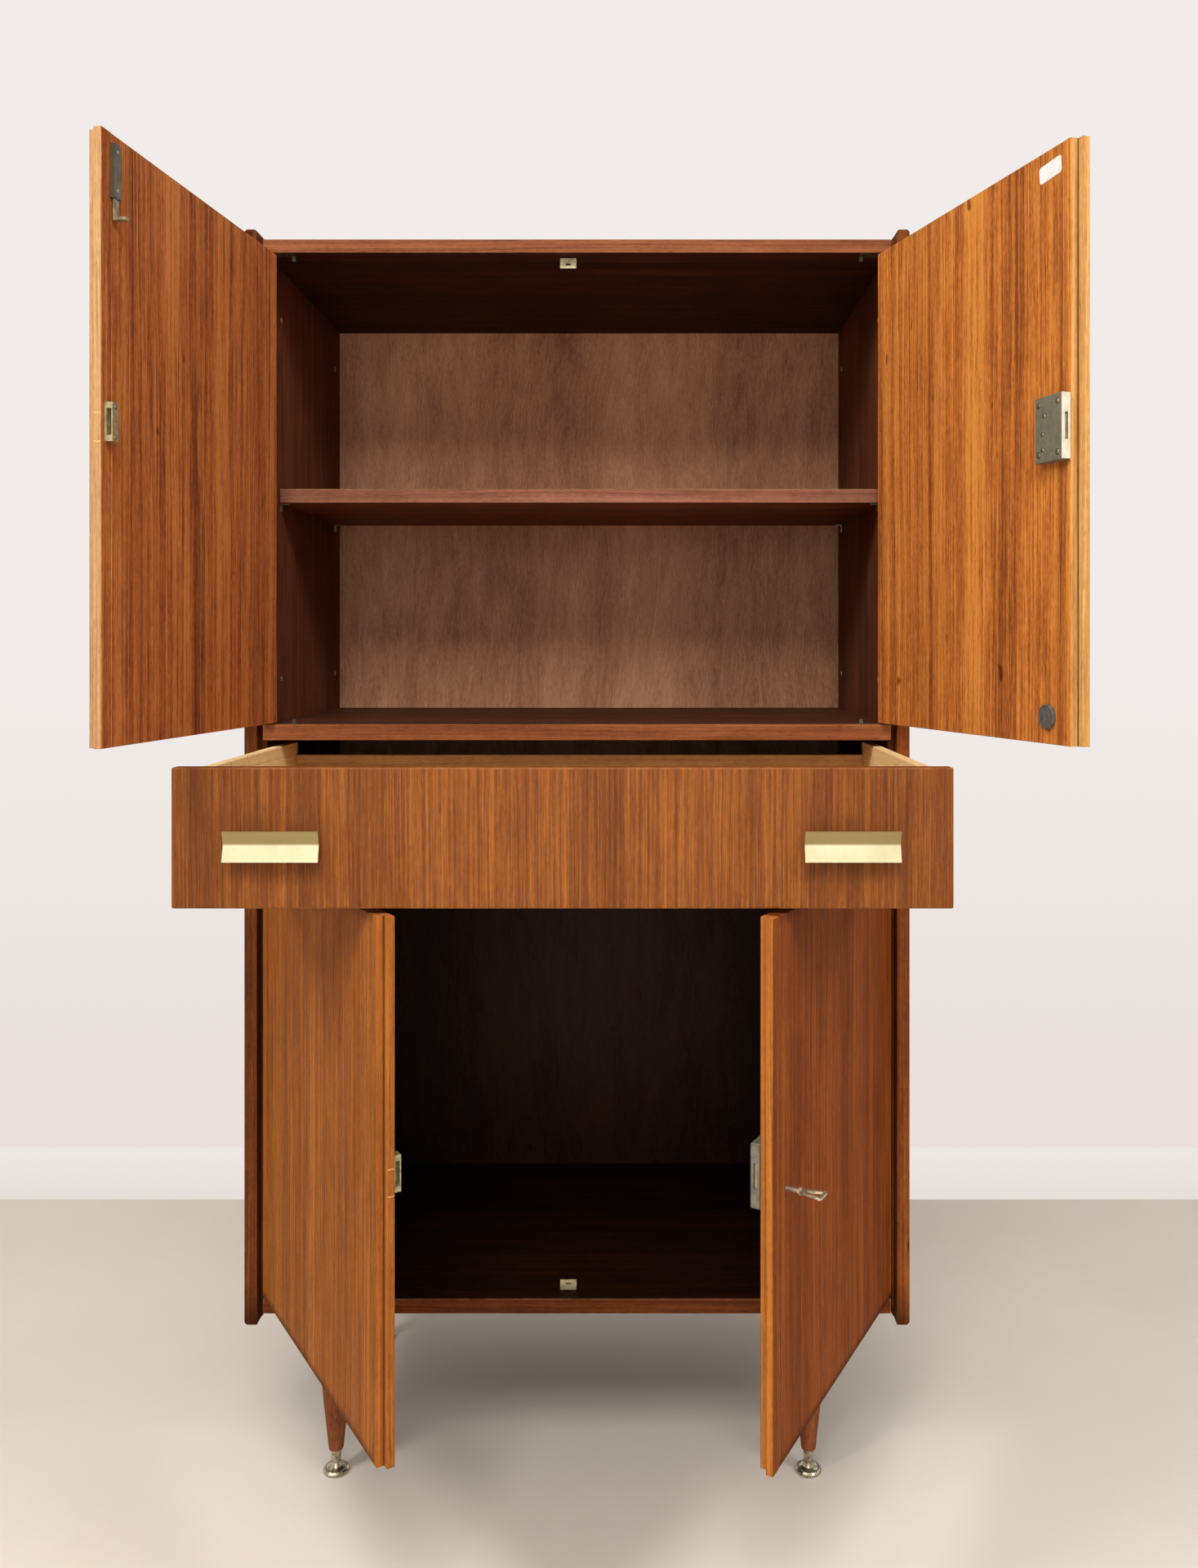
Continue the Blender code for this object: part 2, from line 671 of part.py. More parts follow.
def key(group, leaf, case, lock_low):
    """The key in the lower lock, which turns on its own axis through the door."""
    x = RIGHT_END_X + KEY_SETBACK
    z = lock_low + KEY_RISE
    bore_r = KEY_SHANK_R + KEY_PLAY
    near = DOOR_T + FIT
    inner = near + KEY_BIT_IN + KEY_BIT_L
    cut_round(leaf, group, (x, -OVER_CUT, z), (x, DOOR_T + OVER_CUT, z), bore_r)
    cut_round(case, group, (x, near - OVER_CUT, z), (x, near + KEY_BIT_IN, z), bore_r)
    cut_round(case, group, (x, near + KEY_BIT_IN - KEY_PLAY, z), (x, inner + KEY_PLAY, z),
              KEY_BIT_R + KEY_PLAY)
    axis = Group("key_axis", (x, 0, z), group)
    collar_y = -KEY_SHANK_OUT
    piece = place("key", rod_mesh((x, inner, z), (x, collar_y - KEY_COLLAR_L, z), KEY_SHANK_R),
                  steel, axis)
    join_mesh(piece, axis, rod_mesh((x, collar_y, z), (x, collar_y - KEY_COLLAR_L, z),
                                    KEY_COLLAR_R))
    bow_start = collar_y - KEY_COLLAR_L / 2
    bow_end = bow_start - KEY_BOW_L
    round_in = KEY_BOW_W * 0.1
    bow = [(x - KEY_BOW_NECK_W / 2, bow_start), (x - KEY_BOW_W / 2, bow_end + round_in),
           (x - KEY_BOW_W / 2 + round_in, bow_end), (x + KEY_BOW_W / 2 - round_in, bow_end),
           (x + KEY_BOW_W / 2, bow_end + round_in), (x + KEY_BOW_NECK_W / 2, bow_start)]
    join_mesh(piece, axis, prism_mesh(bow, z - KEY_BOW_T / 2, z + KEY_BOW_T / 2, 'Z'))
    loop_w = KEY_BOW_W / 2 - KEY_BOW_RIM
    loop_y = bow_start - KEY_LOOP_SETBACK
    loop = [(x - KEY_LOOP_NECK_W / 2, loop_y), (x - loop_w, bow_end + KEY_BOW_RIM),
            (x + loop_w, bow_end + KEY_BOW_RIM), (x + KEY_LOOP_NECK_W / 2, loop_y)]
    hole = place_cutter("key_loop", prism_mesh(loop, z - KEY_BOW_T, z + KEY_BOW_T, 'Z'), axis)
    combine(piece, hole, 'DIFFERENCE')
    join_mesh(piece, axis, box_mesh((x, inner - KEY_BIT_L, z - KEY_BIT_T / 2),
                                    (x + KEY_BIT_R, inner - FIT, z + KEY_BIT_T / 2)))


def door_pad(group, door_low):
    x = RIGHT_END_X + PAD_SETBACK
    near = DOOR_T + FIT
    z = door_low + PAD_RISE
    pad = place("door_pad", rod_mesh((x, near, z), (x, near + PAD_T, z), PAD_R, FINE_ROUND),
                pad_grey, group)
    soften(pad, 0.0006)


def drawer():
    """The drawer on side runners, drawn closed and pulled out by its group."""
    group = Group("drawer_slide", (0, 0, DRAWER_LOW), carcass)
    group.empty.location.y -= DRAWER_OPEN
    half = WALL - DOOR_SIDE_GAP
    front = place("drawer_front", box_mesh((-half, 0, DRAWER_LOW), (half, DRAWER_FRONT_T, DRAWER_TOP)),
                  wood_front, group)
    soften(front, 0.002, 2)
    outer = WALL - DRAWER_SIDE_ROOM
    inner = outer - DRAWER_SIDE_T
    side_low = DUST_TOP + DRAWER_LIFT
    side_top = DRAWER_TOP - DRAWER_SIDE_DROP
    start = DRAWER_FRONT_T + FIT
    end = BOARD_BACK - DRAWER_BACK_GAP
    floor_low = side_low + DRAWER_BOTTOM_RISE
    floor_top = floor_low + DRAWER_BOTTOM_T
    groove_z = (floor_low - FIT, floor_top + FIT)
    runner_low = side_low + RUNNER_RISE
    runner_top = runner_low + RUNNER_H
    for side, hand in ((-1, "left"), (1, "right")):
        x = sorted((side * outer, side * inner))
        wall = place("drawer_side_" + hand, box_mesh((x[0], start, side_low), (x[1], end, side_top)),
                     box_wood, group)
        soften(wall, BOARD_EDGE)
        groove_x = sorted((side * (inner - OVER_CUT), side * (inner + DRAWER_GROOVE + FIT)))
        cut_box(wall, group, (groove_x[0], start - OVER_CUT, groove_z[0]),
                (groove_x[1], end + OVER_CUT, groove_z[1]))
        track_x = sorted((side * (outer + OVER_CUT), side * (outer - RUNNER_BITE - 2 * FIT)))
        cut_box(wall, group, (track_x[0], start - OVER_CUT, runner_low - RUN_GAP),
                (track_x[1], end + OVER_CUT, runner_top + FIT))
        rail_x = sorted((side * (WALL - FIT), side * (outer - RUNNER_BITE)))
        rail = place("drawer_runner_" + hand,
                     box_mesh((rail_x[0], DRAWER_FRONT_T + DOOR_END_GAP, runner_low),
                              (rail_x[1], BOARD_BACK - RUNNER_BACK_GAP, runner_top)),
                     box_wood, carcass)
        soften(rail, BOARD_EDGE)
    groove_in = inner + DRAWER_GROOVE
    cut_box(front, group,
            (-groove_in - FIT, DRAWER_FRONT_T - DRAWER_GROOVE - FIT, groove_z[0]),
            (groove_in + FIT, DRAWER_FRONT_T + OVER_CUT, groove_z[1]))
    place("drawer_bottom", box_mesh((-groove_in, DRAWER_FRONT_T - DRAWER_GROOVE, floor_low),
                                    (groove_in, end, floor_top)), box_wood, group)
    board("drawer_back", (-inner + FIT, end - DRAWER_BACK_T, floor_top + FIT),
          (inner - FIT, end, side_top - DRAWER_BACK_DROP), box_wood, group)
    for side, hand in ((-1, "left"), (1, "right")):
        pull("drawer_pull_" + hand, side * (half - PULL_INSET), DRAWER_LOW + PULL_FOLD_RISE, group)


def pull(name, x, fold_z, group):
    """A folded metal pull: a shallow V that stands off the drawer front on two posts."""
    back = -PULL_STAND
    thick = PULL_SHEET
    top = fold_z + PULL_UPPER
    low = fold_z - PULL_LOWER
    outline = [(back, fold_z), (back - PULL_FLARE, low), (back - PULL_FLARE - thick, low),
               (back - thick, fold_z), (back - PULL_FLARE - thick, top),
               (back - PULL_FLARE, top)]
    piece = place(name, prism_mesh(outline, x - PULL_L / 2, x + PULL_L / 2, 'X'), brass, group)
    for offset in (-POST_SPACING / 2, POST_SPACING / 2):
        join_mesh(piece, group, rod_mesh((x + offset, back - thick / 2, fold_z),
                                         (x + offset, -FIT, fold_z), POST_R, 16))


def shelf():
    group = Group("shelf_lift", (0, SHELF_SETBACK, shelf_low()), carcass)
    half = WALL - SHELF_SIDE_GAP
    board("shelf", (-half, SHELF_SETBACK, shelf_low()),
          (half, SHELF_BACK, shelf_low() + SHELF_T), wood_board, group)
    for hand, side in (("left", -1), ("right", 1)):
        for end, y in zip(("front", "rear"), support_rows()):
            shelf_support(f"shelf_support_{end}_{hand}", side, y)


def build_cabinet():
    for side in (-1, 1):
        side_panel(side)
    bottom, dust, divider, top = carcass_boards()
    for side, hand in ((-1, "left"), (1, "right")):
        pivot_leaf("pivot_lower_low_" + hand, side, BOTTOM_TOP, 1, 0.0, bottom)
        pivot_leaf("pivot_lower_high_" + hand, side, DUST_LOW, -1, LEAF_REACH, dust)
        pivot_leaf("pivot_upper_low_" + hand, side, DIVIDER_TOP, 1, 0.0, divider)
        pivot_leaf("pivot_upper_high_" + hand, side, TOP_LOW, -1, 0.0, top)
    keeper("top_keeper", TOP_LOW, -1)
    keeper("bottom_keeper", BOTTOM_TOP, 1)
    bolt_socket(top, TOP_LOW, -1)
    bolt_socket(bottom, BOTTOM_TOP, 1)
    for name, x, y in leg_places():
        leg(name, x, y)
        foot(name, x, y)
    shelf()
    drawer()
    upper_left, _ = door("upper_left", -1, UPPER_DOOR_LOW, UPPER_DOOR_TOP, UPPER_LEFT_OPEN)
    upper_right, _ = door("upper_right", 1, UPPER_DOOR_LOW, UPPER_DOOR_TOP, UPPER_RIGHT_OPEN)
    lower_left, _ = door("lower_left", -1, LOWER_DOOR_LOW, LOWER_DOOR_TOP, LOWER_LEFT_OPEN)
    lower_right, right_leaf = door("lower_right", 1, LOWER_DOOR_LOW, LOWER_DOOR_TOP,
                                   LOWER_RIGHT_OPEN)
    _, upper_bolt_z = lock("upper", upper_right, UPPER_DOOR_LOW + UPPER_LOCK_RISE)
    lower_lock_low = LOWER_DOOR_LOW + LOWER_LOCK_RISE
    lower_case, lower_bolt_z = lock("lower", lower_right, lower_lock_low)
    strike("upper", upper_left, upper_bolt_z)
    strike("lower", lower_left, lower_bolt_z)
    key(lower_right, right_leaf, lower_case, lower_lock_low)
    slide_bolt("upper", upper_left, UPPER_DOOR_TOP, 1, lever_out=True)
    slide_bolt("lower", lower_left, LOWER_DOOR_LOW, -1, lever_out=False)
    door_pad(upper_right, UPPER_DOOR_LOW)


def stand_on_origin():
    """Moves the whole cabinet so that the middle of its box stands on the origin."""
    graph = bpy.context.evaluated_depsgraph_get()
    graph.update()
    points = []
    for piece in parts.objects:
        if piece.type == 'MESH':
            shown = piece.evaluated_get(graph)
            points += [shown.matrix_world @ Vector(corner) for corner in shown.bound_box]
    for axis in range(2):
        low = min(point[axis] for point in points)
        high = max(point[axis] for point in points)
        carcass.empty.location[axis] -= (low + high) / 2


clear_scene()
parts = make_collection("Tall cabinet")
cutters = make_collection("Cutters")
wood_dark = make_material("dark stained wood", (0.16, 0.045, 0.017), 0.38)
wood_board = make_material("reddish board wood", (0.33, 0.105, 0.042), 0.38)
wood_front = make_material("straight grained front", (0.38, 0.125, 0.042), 0.36)
veneer = make_material("ribbon striped veneer", (0.42, 0.135, 0.04), 0.36)
lipping_wood = make_material("pale edge lipping", (0.62, 0.32, 0.12), 0.42)
box_wood = make_material("drawer box wood", (0.52, 0.32, 0.13), 0.5)
plywood = make_material("back plywood", (0.14, 0.065, 0.035), 0.55)
brass = make_material("satin brass", (0.70, 0.60, 0.33), 0.3, 1.0)
steel = make_material("aged nickel", (0.42, 0.38, 0.31), 0.35, 1.0)
pad_grey = make_material("dark grey pad", (0.06, 0.06, 0.062), 0.5)
carcass = Group("cabinet", (0, 0, 0))
build_cabinet()
stand_on_origin()
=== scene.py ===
# %% [markdown]
# # Dressing a tall cabinet
#
# The solids of a tall cabinet come in ready made: two pairs of doors, a drawer between them, a
# shelf, turned legs, locks, bolts and a key. This lesson gives them their woods and metals, adds
# the small fittings that are too fine for the solids, and sets a camera, a floor and soft light.
# First the solids are loaded and a few measures are taken from them, for the rest to follow.

import json
import math

import bmesh
import bpy
from mathutils import Matrix, Vector

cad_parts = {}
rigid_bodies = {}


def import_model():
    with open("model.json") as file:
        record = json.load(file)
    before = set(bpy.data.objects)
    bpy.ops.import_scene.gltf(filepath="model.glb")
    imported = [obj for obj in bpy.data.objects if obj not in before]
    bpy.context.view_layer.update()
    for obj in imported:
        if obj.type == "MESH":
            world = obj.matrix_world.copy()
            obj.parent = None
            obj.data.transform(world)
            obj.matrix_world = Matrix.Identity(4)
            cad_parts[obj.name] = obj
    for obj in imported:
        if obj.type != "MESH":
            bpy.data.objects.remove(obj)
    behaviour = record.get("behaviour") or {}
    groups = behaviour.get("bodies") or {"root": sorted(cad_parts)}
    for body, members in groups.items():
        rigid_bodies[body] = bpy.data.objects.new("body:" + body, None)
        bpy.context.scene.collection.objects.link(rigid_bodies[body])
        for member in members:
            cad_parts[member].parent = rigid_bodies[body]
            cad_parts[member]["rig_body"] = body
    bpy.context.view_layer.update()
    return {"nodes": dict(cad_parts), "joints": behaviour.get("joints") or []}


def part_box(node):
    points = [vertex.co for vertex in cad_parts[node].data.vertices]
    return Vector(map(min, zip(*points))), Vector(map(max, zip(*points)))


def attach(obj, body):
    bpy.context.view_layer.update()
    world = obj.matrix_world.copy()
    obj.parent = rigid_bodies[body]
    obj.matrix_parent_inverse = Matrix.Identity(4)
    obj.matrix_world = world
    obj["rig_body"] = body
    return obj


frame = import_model()
nodes = frame["nodes"]
joints = {joint["child"]: joint for joint in frame["joints"]}

# %% Places that the rest is measured from
DOORS = ("upper_left", "upper_right", "lower_left", "lower_right")
LEVELS = ("upper", "lower")
divider_low, divider_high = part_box("divider_board")
middle_x = (divider_low.x + divider_high.x) / 2
front_y = divider_low.y
inner_half = (divider_high.x - divider_low.x) / 2
print("middle", round(middle_x, 4), "front", round(front_y, 4), "half width", round(inner_half, 4))

# %% [markdown]
# A door is easiest to think about when it is shut: its face is flat to the front and its grain
# runs straight up. The solids come in with the doors standing open. Each joint says how far
# back its door turns to shut, so one matrix for each moving body takes a point from the shut
# cabinet to where it stands now. Pieces and patterns are both laid out shut.

# %% From the shut cabinet to the open one
def opened(body):
    """The matrix that carries a point of the shut cabinet to its place in the open one."""
    if body not in joints:
        return Matrix.Identity(4)
    joint = joints[body]
    start = opened(joint["parent"])
    if joint["type"] == "slide":
        shut = joint["range_m"][0] if body == "drawer" else 0.0
        return start @ Matrix.Translation(Vector(joint["axis"]) * -shut)
    if "door" not in body or body == "door_key":
        return start
    pivot = Vector(joint["pos_m"])
    turn = Matrix.Rotation(-math.radians(joint["range_deg"][0]), 4, Vector(joint["axis"]))
    return Matrix.Translation(pivot) @ turn @ Matrix.Translation(-pivot) @ start


def shut_box(node):
    """The corners of a node's box when the cabinet is shut."""
    back = opened(nodes[node]["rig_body"]).inverted()
    corners = [back @ vertex.co for vertex in nodes[node].data.vertices]
    low = Vector([min(corner[i] for corner in corners) for i in range(3)])
    high = Vector([max(corner[i] for corner in corners) for i in range(3)])
    return low, high


for door in DOORS:
    low, high = shut_box("door_" + door)
    print(door, "shut from", [round(v, 4) for v in low], "to", [round(v, 4) for v in high])

# %% [markdown]
# The photograph was taken from chest height with the camera held level, a little to the right
# of the middle. A level camera keeps every upright edge upright, and the shift of the lens moves
# the cabinet in the frame without tilting anything, as a view camera does.

# %% Camera
def linked(name, data):
    made = bpy.data.objects.new(name, data)
    bpy.context.scene.collection.objects.link(made)
    return made


FRAME_WIDE, FRAME_HIGH = 1467, 1920
FOCAL_PIXELS = 1545.07
CENTRE_PIXELS = (777.87, 787.97)
SENSOR = 36.0
ASIDE, AWAY, EYE_HEIGHT = 0.07883, 1.70622, 1.15489

camera_data = bpy.data.cameras.new("Camera")
camera_data.sensor_width = SENSOR
camera_data.lens = SENSOR * FOCAL_PIXELS / FRAME_HIGH
camera_data.shift_x = (FRAME_WIDE / 2 - CENTRE_PIXELS[0]) / FRAME_HIGH
camera_data.shift_y = (CENTRE_PIXELS[1] - FRAME_HIGH / 2) / FRAME_HIGH
camera = linked("Camera", camera_data)
camera.location = (middle_x + ASIDE, front_y - AWAY, EYE_HEIGHT)
camera.rotation_euler = (math.pi / 2, 0.0, 0.0)
bpy.context.scene.camera = camera
print("lens", round(camera_data.lens, 2), "at", [round(v, 3) for v in camera.location])

# %% [markdown]
# Node trees get long when every line spells out a node and its links. A small helper keeps them
# readable: most methods add a node, join what is given to it, and hand back its output.

# %% A short way to write node trees
class Sketch:
    """Adds nodes to a tree: a value that is a socket is linked, any other is set."""

    def __init__(self, tree):
        self.tree = tree

    def node(self, kind, inputs=(), **settings):
        made = self.tree.nodes.new(kind)
        for name, value in settings.items():
            setattr(made, name, value)
        self.feed(made, dict(inputs))
        return made

    def feed(self, node, values):
        for key, value in values.items():
            if isinstance(value, bpy.types.NodeSocket):
                self.tree.links.new(value, node.inputs[key])
            else:
                node.inputs[key].default_value = value

    def first(self, kind, inputs=(), **settings):
        """Adds a node and hands back its first output."""
        return self.node(kind, inputs, **settings).outputs[0]

    def here(self):
        return self.node("ShaderNodeTexCoord").outputs["Object"]

    def parts(self, place):
        return self.node("ShaderNodeSeparateXYZ", {0: place}).outputs

    def joined(self, x=0.0, y=0.0, z=0.0):
        return self.first("ShaderNodeCombineXYZ", {"X": x, "Y": y, "Z": z})

    def maths(self, operation, first, second=0.0, clamp=False):
        return self.first("ShaderNodeMath", {0: first, 1: second}, operation=operation,
                          use_clamp=clamp)

    def vector(self, operation, first, second=(0.0, 0.0, 0.0)):
        node = self.node("ShaderNodeVectorMath", {0: first, 1: second}, operation=operation)
        return node.outputs["Value" if operation == "LENGTH" else "Vector"]

    def noise(self, place, scale, detail=2.0, roughness=0.5):
        values = {"Vector": place, "Scale": scale, "Detail": detail, "Roughness": roughness}
        return self.node("ShaderNodeTexNoise", values).outputs["Fac"]

    def span(self, value, low, high, new_low=0.0, new_high=1.0):
        values = {"Value": value, "From Min": low, "From Max": high, "To Min": new_low,
                  "To Max": new_high}
        return self.first("ShaderNodeMapRange", values)

    def mix(self, amount, first, second, blend='MIX'):
        node = self.node("ShaderNodeMix", {0: amount, 6: first, 7: second}, data_type='RGBA')
        node.blend_type = blend
        return node.outputs[2]

    def bump(self, height, strength, distance):
        values = {"Height": height, "Strength": strength, "Distance": distance}
        return self.first("ShaderNodeBump", values)


FLOAT, COLOUR, VECTOR = "NodeSocketFloat", "NodeSocketColor", "NodeSocketVector"
GEOMETRY = "NodeSocketGeometry"


def new_group(name, inputs, outputs, tree_kind="ShaderNodeTree"):
    """A node group, its sketch, its inputs and its output node. An input is named with its
    kind, or with the number that it starts from."""
    group = bpy.data.node_groups.new(name, tree_kind)
    for title, start in inputs.items():
        kind = start if isinstance(start, str) else FLOAT
        made = group.interface.new_socket(title, in_out='INPUT', socket_type=kind)
        if kind != start:
            made.default_value = start
    for title, kind in outputs.items():
        group.interface.new_socket(title, in_out='OUTPUT', socket_type=kind)
    sketch = Sketch(group)
    return group, sketch, sketch.node("NodeGroupInput").outputs, sketch.node("NodeGroupOutput")


def srgb(red, green, blue):
    """A colour read off a photograph, as the linear values that a shader works in."""
    def straight(part):
        part = part / 255
        return part / 12.92 if part <= 0.04045 else ((part + 0.055) / 1.055) ** 2.4

    return (straight(red), straight(green), straight(blue), 1.0)


print("helpers ready, mid grey is", [round(v, 3) for v in srgb(128, 128, 128)[:3]])

# %% [markdown]
# Ribbon-striped veneer is the look of this cabinet. Its fibres lean one way and then the other
# from ring to ring, so soft bands run up the whole door, with broad lighter and darker zones
# behind them, fine lines and fibres on top, and here and there a dark streak or a small knot.
# All of these are noise that is squeezed across the grain and stretched along it. One group
# makes every wood in the cabinet, because only widths and colours differ.

# %% Timber grain
timber, t, take, give = new_group(
    "Timber grain",
    {"Vector": VECTOR, "Light": COLOUR, "Middle": COLOUR, "Dark": COLOUR, "Stripe Width": 0.012,
     "Zones": 0.5, "Bands": 0.5, "Figure Length": 1.5, "Lines": 0.6, "Pores": 0.4,
     "Wander": 0.004, "Waver": 0.002, "Mottle": 0.3, "Fleck": 0.2, "Streaks": 0.5, "Knots": 0.0},
    {"Color": COLOUR, "Height": FLOAT, "Gloss": FLOAT})


def push(stretch, detail, amount):
    """A shift in place by soft noise, which makes the grain drift or shiver."""
    spread = t.vector("MULTIPLY", take["Vector"], stretch)
    noise = t.node("ShaderNodeTexNoise", {"Vector": spread, "Scale": 1.0, "Detail": detail})
    values = {0: t.vector("SUBTRACT", noise.outputs["Color"], (0.5, 0.5, 0.5)), "Scale": amount}
    return t.first("ShaderNodeVectorMath", values, operation='SCALE')


lean = push((1.6, 1.6, 1.1), 1.0, t.maths("MULTIPLY", take["Wander"], 12.0))
shiver = push((14.0, 14.0, 9.0), 2.0, take["Waver"])
flowing = t.vector("ADD", t.vector("ADD", take["Vector"], lean), shiver)


def layer(along, scale, detail, low, high, roughness=0.5):
    """Noise drawn out along the grain, as a signal that climbs between two of its levels."""
    place = t.vector("MULTIPLY", flowing, (1.0, 1.0, along))
    return t.span(t.noise(place, scale, detail, roughness), low, high)


def swing(signal, amount):
    """A signal about one half, turned into a push up or down of the given size."""
    return t.maths("MULTIPLY", t.maths("SUBTRACT", signal, 0.5), amount)


across = t.maths("DIVIDE", 1.0, take["Stripe Width"])
squeeze = t.joined(across, across, t.maths("DIVIDE", 1.0, take["Figure Length"]))
wide = t.vector("MULTIPLY", flowing, squeeze)
zones = t.span(t.noise(wide, 0.22, 1.0), 0.32, 0.68)
bands = t.span(t.noise(wide, 0.9, 3.0, 0.6), 0.3, 0.7)
streak = t.span(t.noise(t.vector("ADD", wide, (31.0, 7.0, 5.0)), 0.8, 1.0), 0.64, 0.74)
lines = layer(0.005, 360.0, 3.0, 0.32, 0.68, 0.7)
fibre = layer(0.03, 900.0, 2.0, 0.3, 0.7)
mottle = layer(0.3, 48.0, 2.0, 0.3, 0.7)
fleck = layer(0.4, 300.0, 3.0, 0.35, 0.65, 0.65)
pore = layer(0.09, 820.0, 1.0, 0.6, 0.72)
knot = layer(0.45, 75.0, 0.0, 0.815, 0.875)

value = swing(zones, take["Zones"])
for signal, amount in ((bands, take["Bands"]), (lines, take["Lines"]),
                       (fibre, t.maths("MULTIPLY", take["Lines"], 0.5)),
                       (mottle, take["Mottle"]), (fleck, take["Fleck"])):
    value = t.maths("ADD", value, swing(signal, amount))
value = t.maths("ADD", value, 0.5, clamp=True)
tone = t.mix(t.span(value, 0.0, 0.5), take["Dark"], take["Middle"])
tone = t.mix(t.span(value, 0.5, 1.0), tone, take["Light"])
pore_depth = t.maths("MULTIPLY", pore, take["Pores"])
for depth, tint in ((t.maths("MULTIPLY", streak, take["Streaks"]), (0.52, 0.42, 0.46, 1.0)),
                    (t.maths("MULTIPLY", knot, take["Knots"]), (0.3, 0.22, 0.18, 1.0)),
                    (pore_depth, (0.4, 0.33, 0.3, 1.0))):
    tone = t.mix(depth, tone, tint, 'MULTIPLY')
height = t.maths("SUBTRACT", t.maths("MULTIPLY", lines, 0.35), pore_depth)
gloss = t.maths("SUBTRACT", t.maths("ADD", 0.5, t.maths("MULTIPLY", fibre, 0.3)), pore_depth)
t.feed(give, {"Color": tone, "Height": height, "Gloss": gloss})
print("timber grain:", len(timber.nodes), "nodes")

# %% [markdown]
# Old edges are where hands and cloths have been: the stain is rubbed thin there and a little light
# wood shows. The same lighter line is also a painted highlight, for the light that an edge catches.
# A point is on an edge when it is close to two faces of its piece at once, so the second smallest of
# its three distances to the piece's box tells how near an edge it is.

# %% Rubbed edges and painted edge highlight
edge_wear_and_highlight_group, r, take, give = new_group(
    "Edge wear and highlight", {"Vector": VECTOR, "Low": VECTOR, "High": VECTOR, "Width": 0.0015},
    {"Wear Highlight": FLOAT})
from_low = r.vector("SUBTRACT", take["Vector"], take["Low"])
from_high = r.vector("SUBTRACT", take["High"], take["Vector"])
parts = r.parts(r.vector("ABSOLUTE", r.vector("MINIMUM", from_low, from_high)))
smaller = r.maths("MINIMUM", parts[0], parts[1])
larger = r.maths("MAXIMUM", parts[0], parts[1])
second = r.maths("MAXIMUM", smaller, r.maths("MINIMUM", larger, parts[2]))
chatter = r.noise(take["Vector"], 60.0, 3.0, 0.6)
reach = r.maths("MULTIPLY", take["Width"], r.span(chatter, 0.3, 0.7, 0.3, 1.6))
r.feed(give, {"Wear Highlight": r.span(second, reach, 0.0)})
print("rubbed edges:", len(edge_wear_and_highlight_group.nodes), "nodes")

# %% [markdown]
# The fittings are thin plated metal, sixty or so years old. Plating dulls in soft clouds, picks
# up hairline scratches and darkens in specks. One group gives the clouds, the scratches and the
# specks, and each metal mixes its own clean and dull colours with them.

# %% Aged metal
aged, a, take, give = new_group(
    "Aged metal",
    {"Vector": VECTOR, "Clean": COLOUR, "Dull": COLOUR, "Cloud Size": 0.02, "Specks": 0.5},
    {"Color": COLOUR, "Roughness": FLOAT, "Height": FLOAT})
cloud = a.span(a.noise(take["Vector"], a.maths("DIVIDE", 1.0, take["Cloud Size"]), 3.0), 0.35, 0.7)
scratch_place = a.vector("MULTIPLY", take["Vector"], (1.0, 1.0, 0.05))
scratch = a.span(a.noise(scratch_place, 3000.0), 0.58, 0.66)
speck = a.span(a.noise(take["Vector"], 700.0), 0.62, 0.7)
speck = a.maths("MULTIPLY", speck, take["Specks"])
finish = a.mix(cloud, take["Clean"], take["Dull"])
rough = a.maths("ADD", 0.24, a.maths("MULTIPLY", cloud, 0.2))
a.feed(give, {"Color": a.mix(speck, finish, (0.35, 0.28, 0.2, 1.0), 'MULTIPLY'),
              "Roughness": a.maths("ADD", rough, a.maths("MULTIPLY", speck, 0.3), clamp=True),
              "Height": a.maths("SUBTRACT", a.maths("MULTIPLY", scratch, 0.3), speck)})
print("aged metal:", len(aged.nodes), "nodes")

# %% [markdown]
# A material reads Object coordinates, which stay with a piece when it moves. For a door these
# are turned back to the shut position by a Mapping node, so that its box and its grain line up
# with the axes. A second Mapping node lays the grain along X for boards that run sideways.

# %% A material that knows its piece's place
def new_material(name):
    material = bpy.data.materials.new(name)
    material.use_nodes = True
    sketch = Sketch(material.node_tree)
    return material, sketch, material.node_tree.nodes["Principled BSDF"]


def give_material(mesh, material):
    mesh.materials.clear()
    mesh.materials.append(material)


def shut_place(sketch, body):
    """Object coordinates, turned back to where they are in the shut cabinet."""
    back = opened(body).inverted()
    values = {"Vector": sketch.here(), "Location": back.translation, "Rotation": back.to_euler()}
    return sketch.first("ShaderNodeMapping", values)


def laid_grain(sketch, place, lay, seed):
    """The same place with its grain direction turned to Z, and slid to a fresh part of it."""
    turns = {"up": (0.0, 0.0, 0.0), "sideways": (0.0, math.pi / 2, 0.0),
             "deep": (math.pi / 2, 0.0, 0.0)}
    values = {"Vector": place, "Rotation": turns[lay],
              "Location": (seed * 3.1, seed * 1.7, seed * 2.3)}
    return sketch.first("ShaderNodeMapping", values)


def fill_wood(sketch, grain, tones, stripes):
    light, middle, dark = [srgb(*tone) for tone in tones]
    values = {"Vector": grain, "Light": light, "Middle": middle, "Dark": dark, **stripes}
    return sketch.node("ShaderNodeGroup", values, node_tree=timber).outputs


def between(sketch, place, axis, low, high, soft=0.0004):
    """One where a place lies between two depths along an axis, and nought elsewhere."""
    depth = sketch.parts(place)[axis]
    above = sketch.span(depth, low - soft, low + soft)
    return sketch.maths("MULTIPLY", above, sketch.span(depth, high + soft, high - soft))


EDGE_WEAR_AND_HIGHLIGHT, STEP_CORNER_SHADE = (196, 136, 84), (62, 30, 16)
END_DARKENING = (0.3, 0.28, 0.3, 1.0)


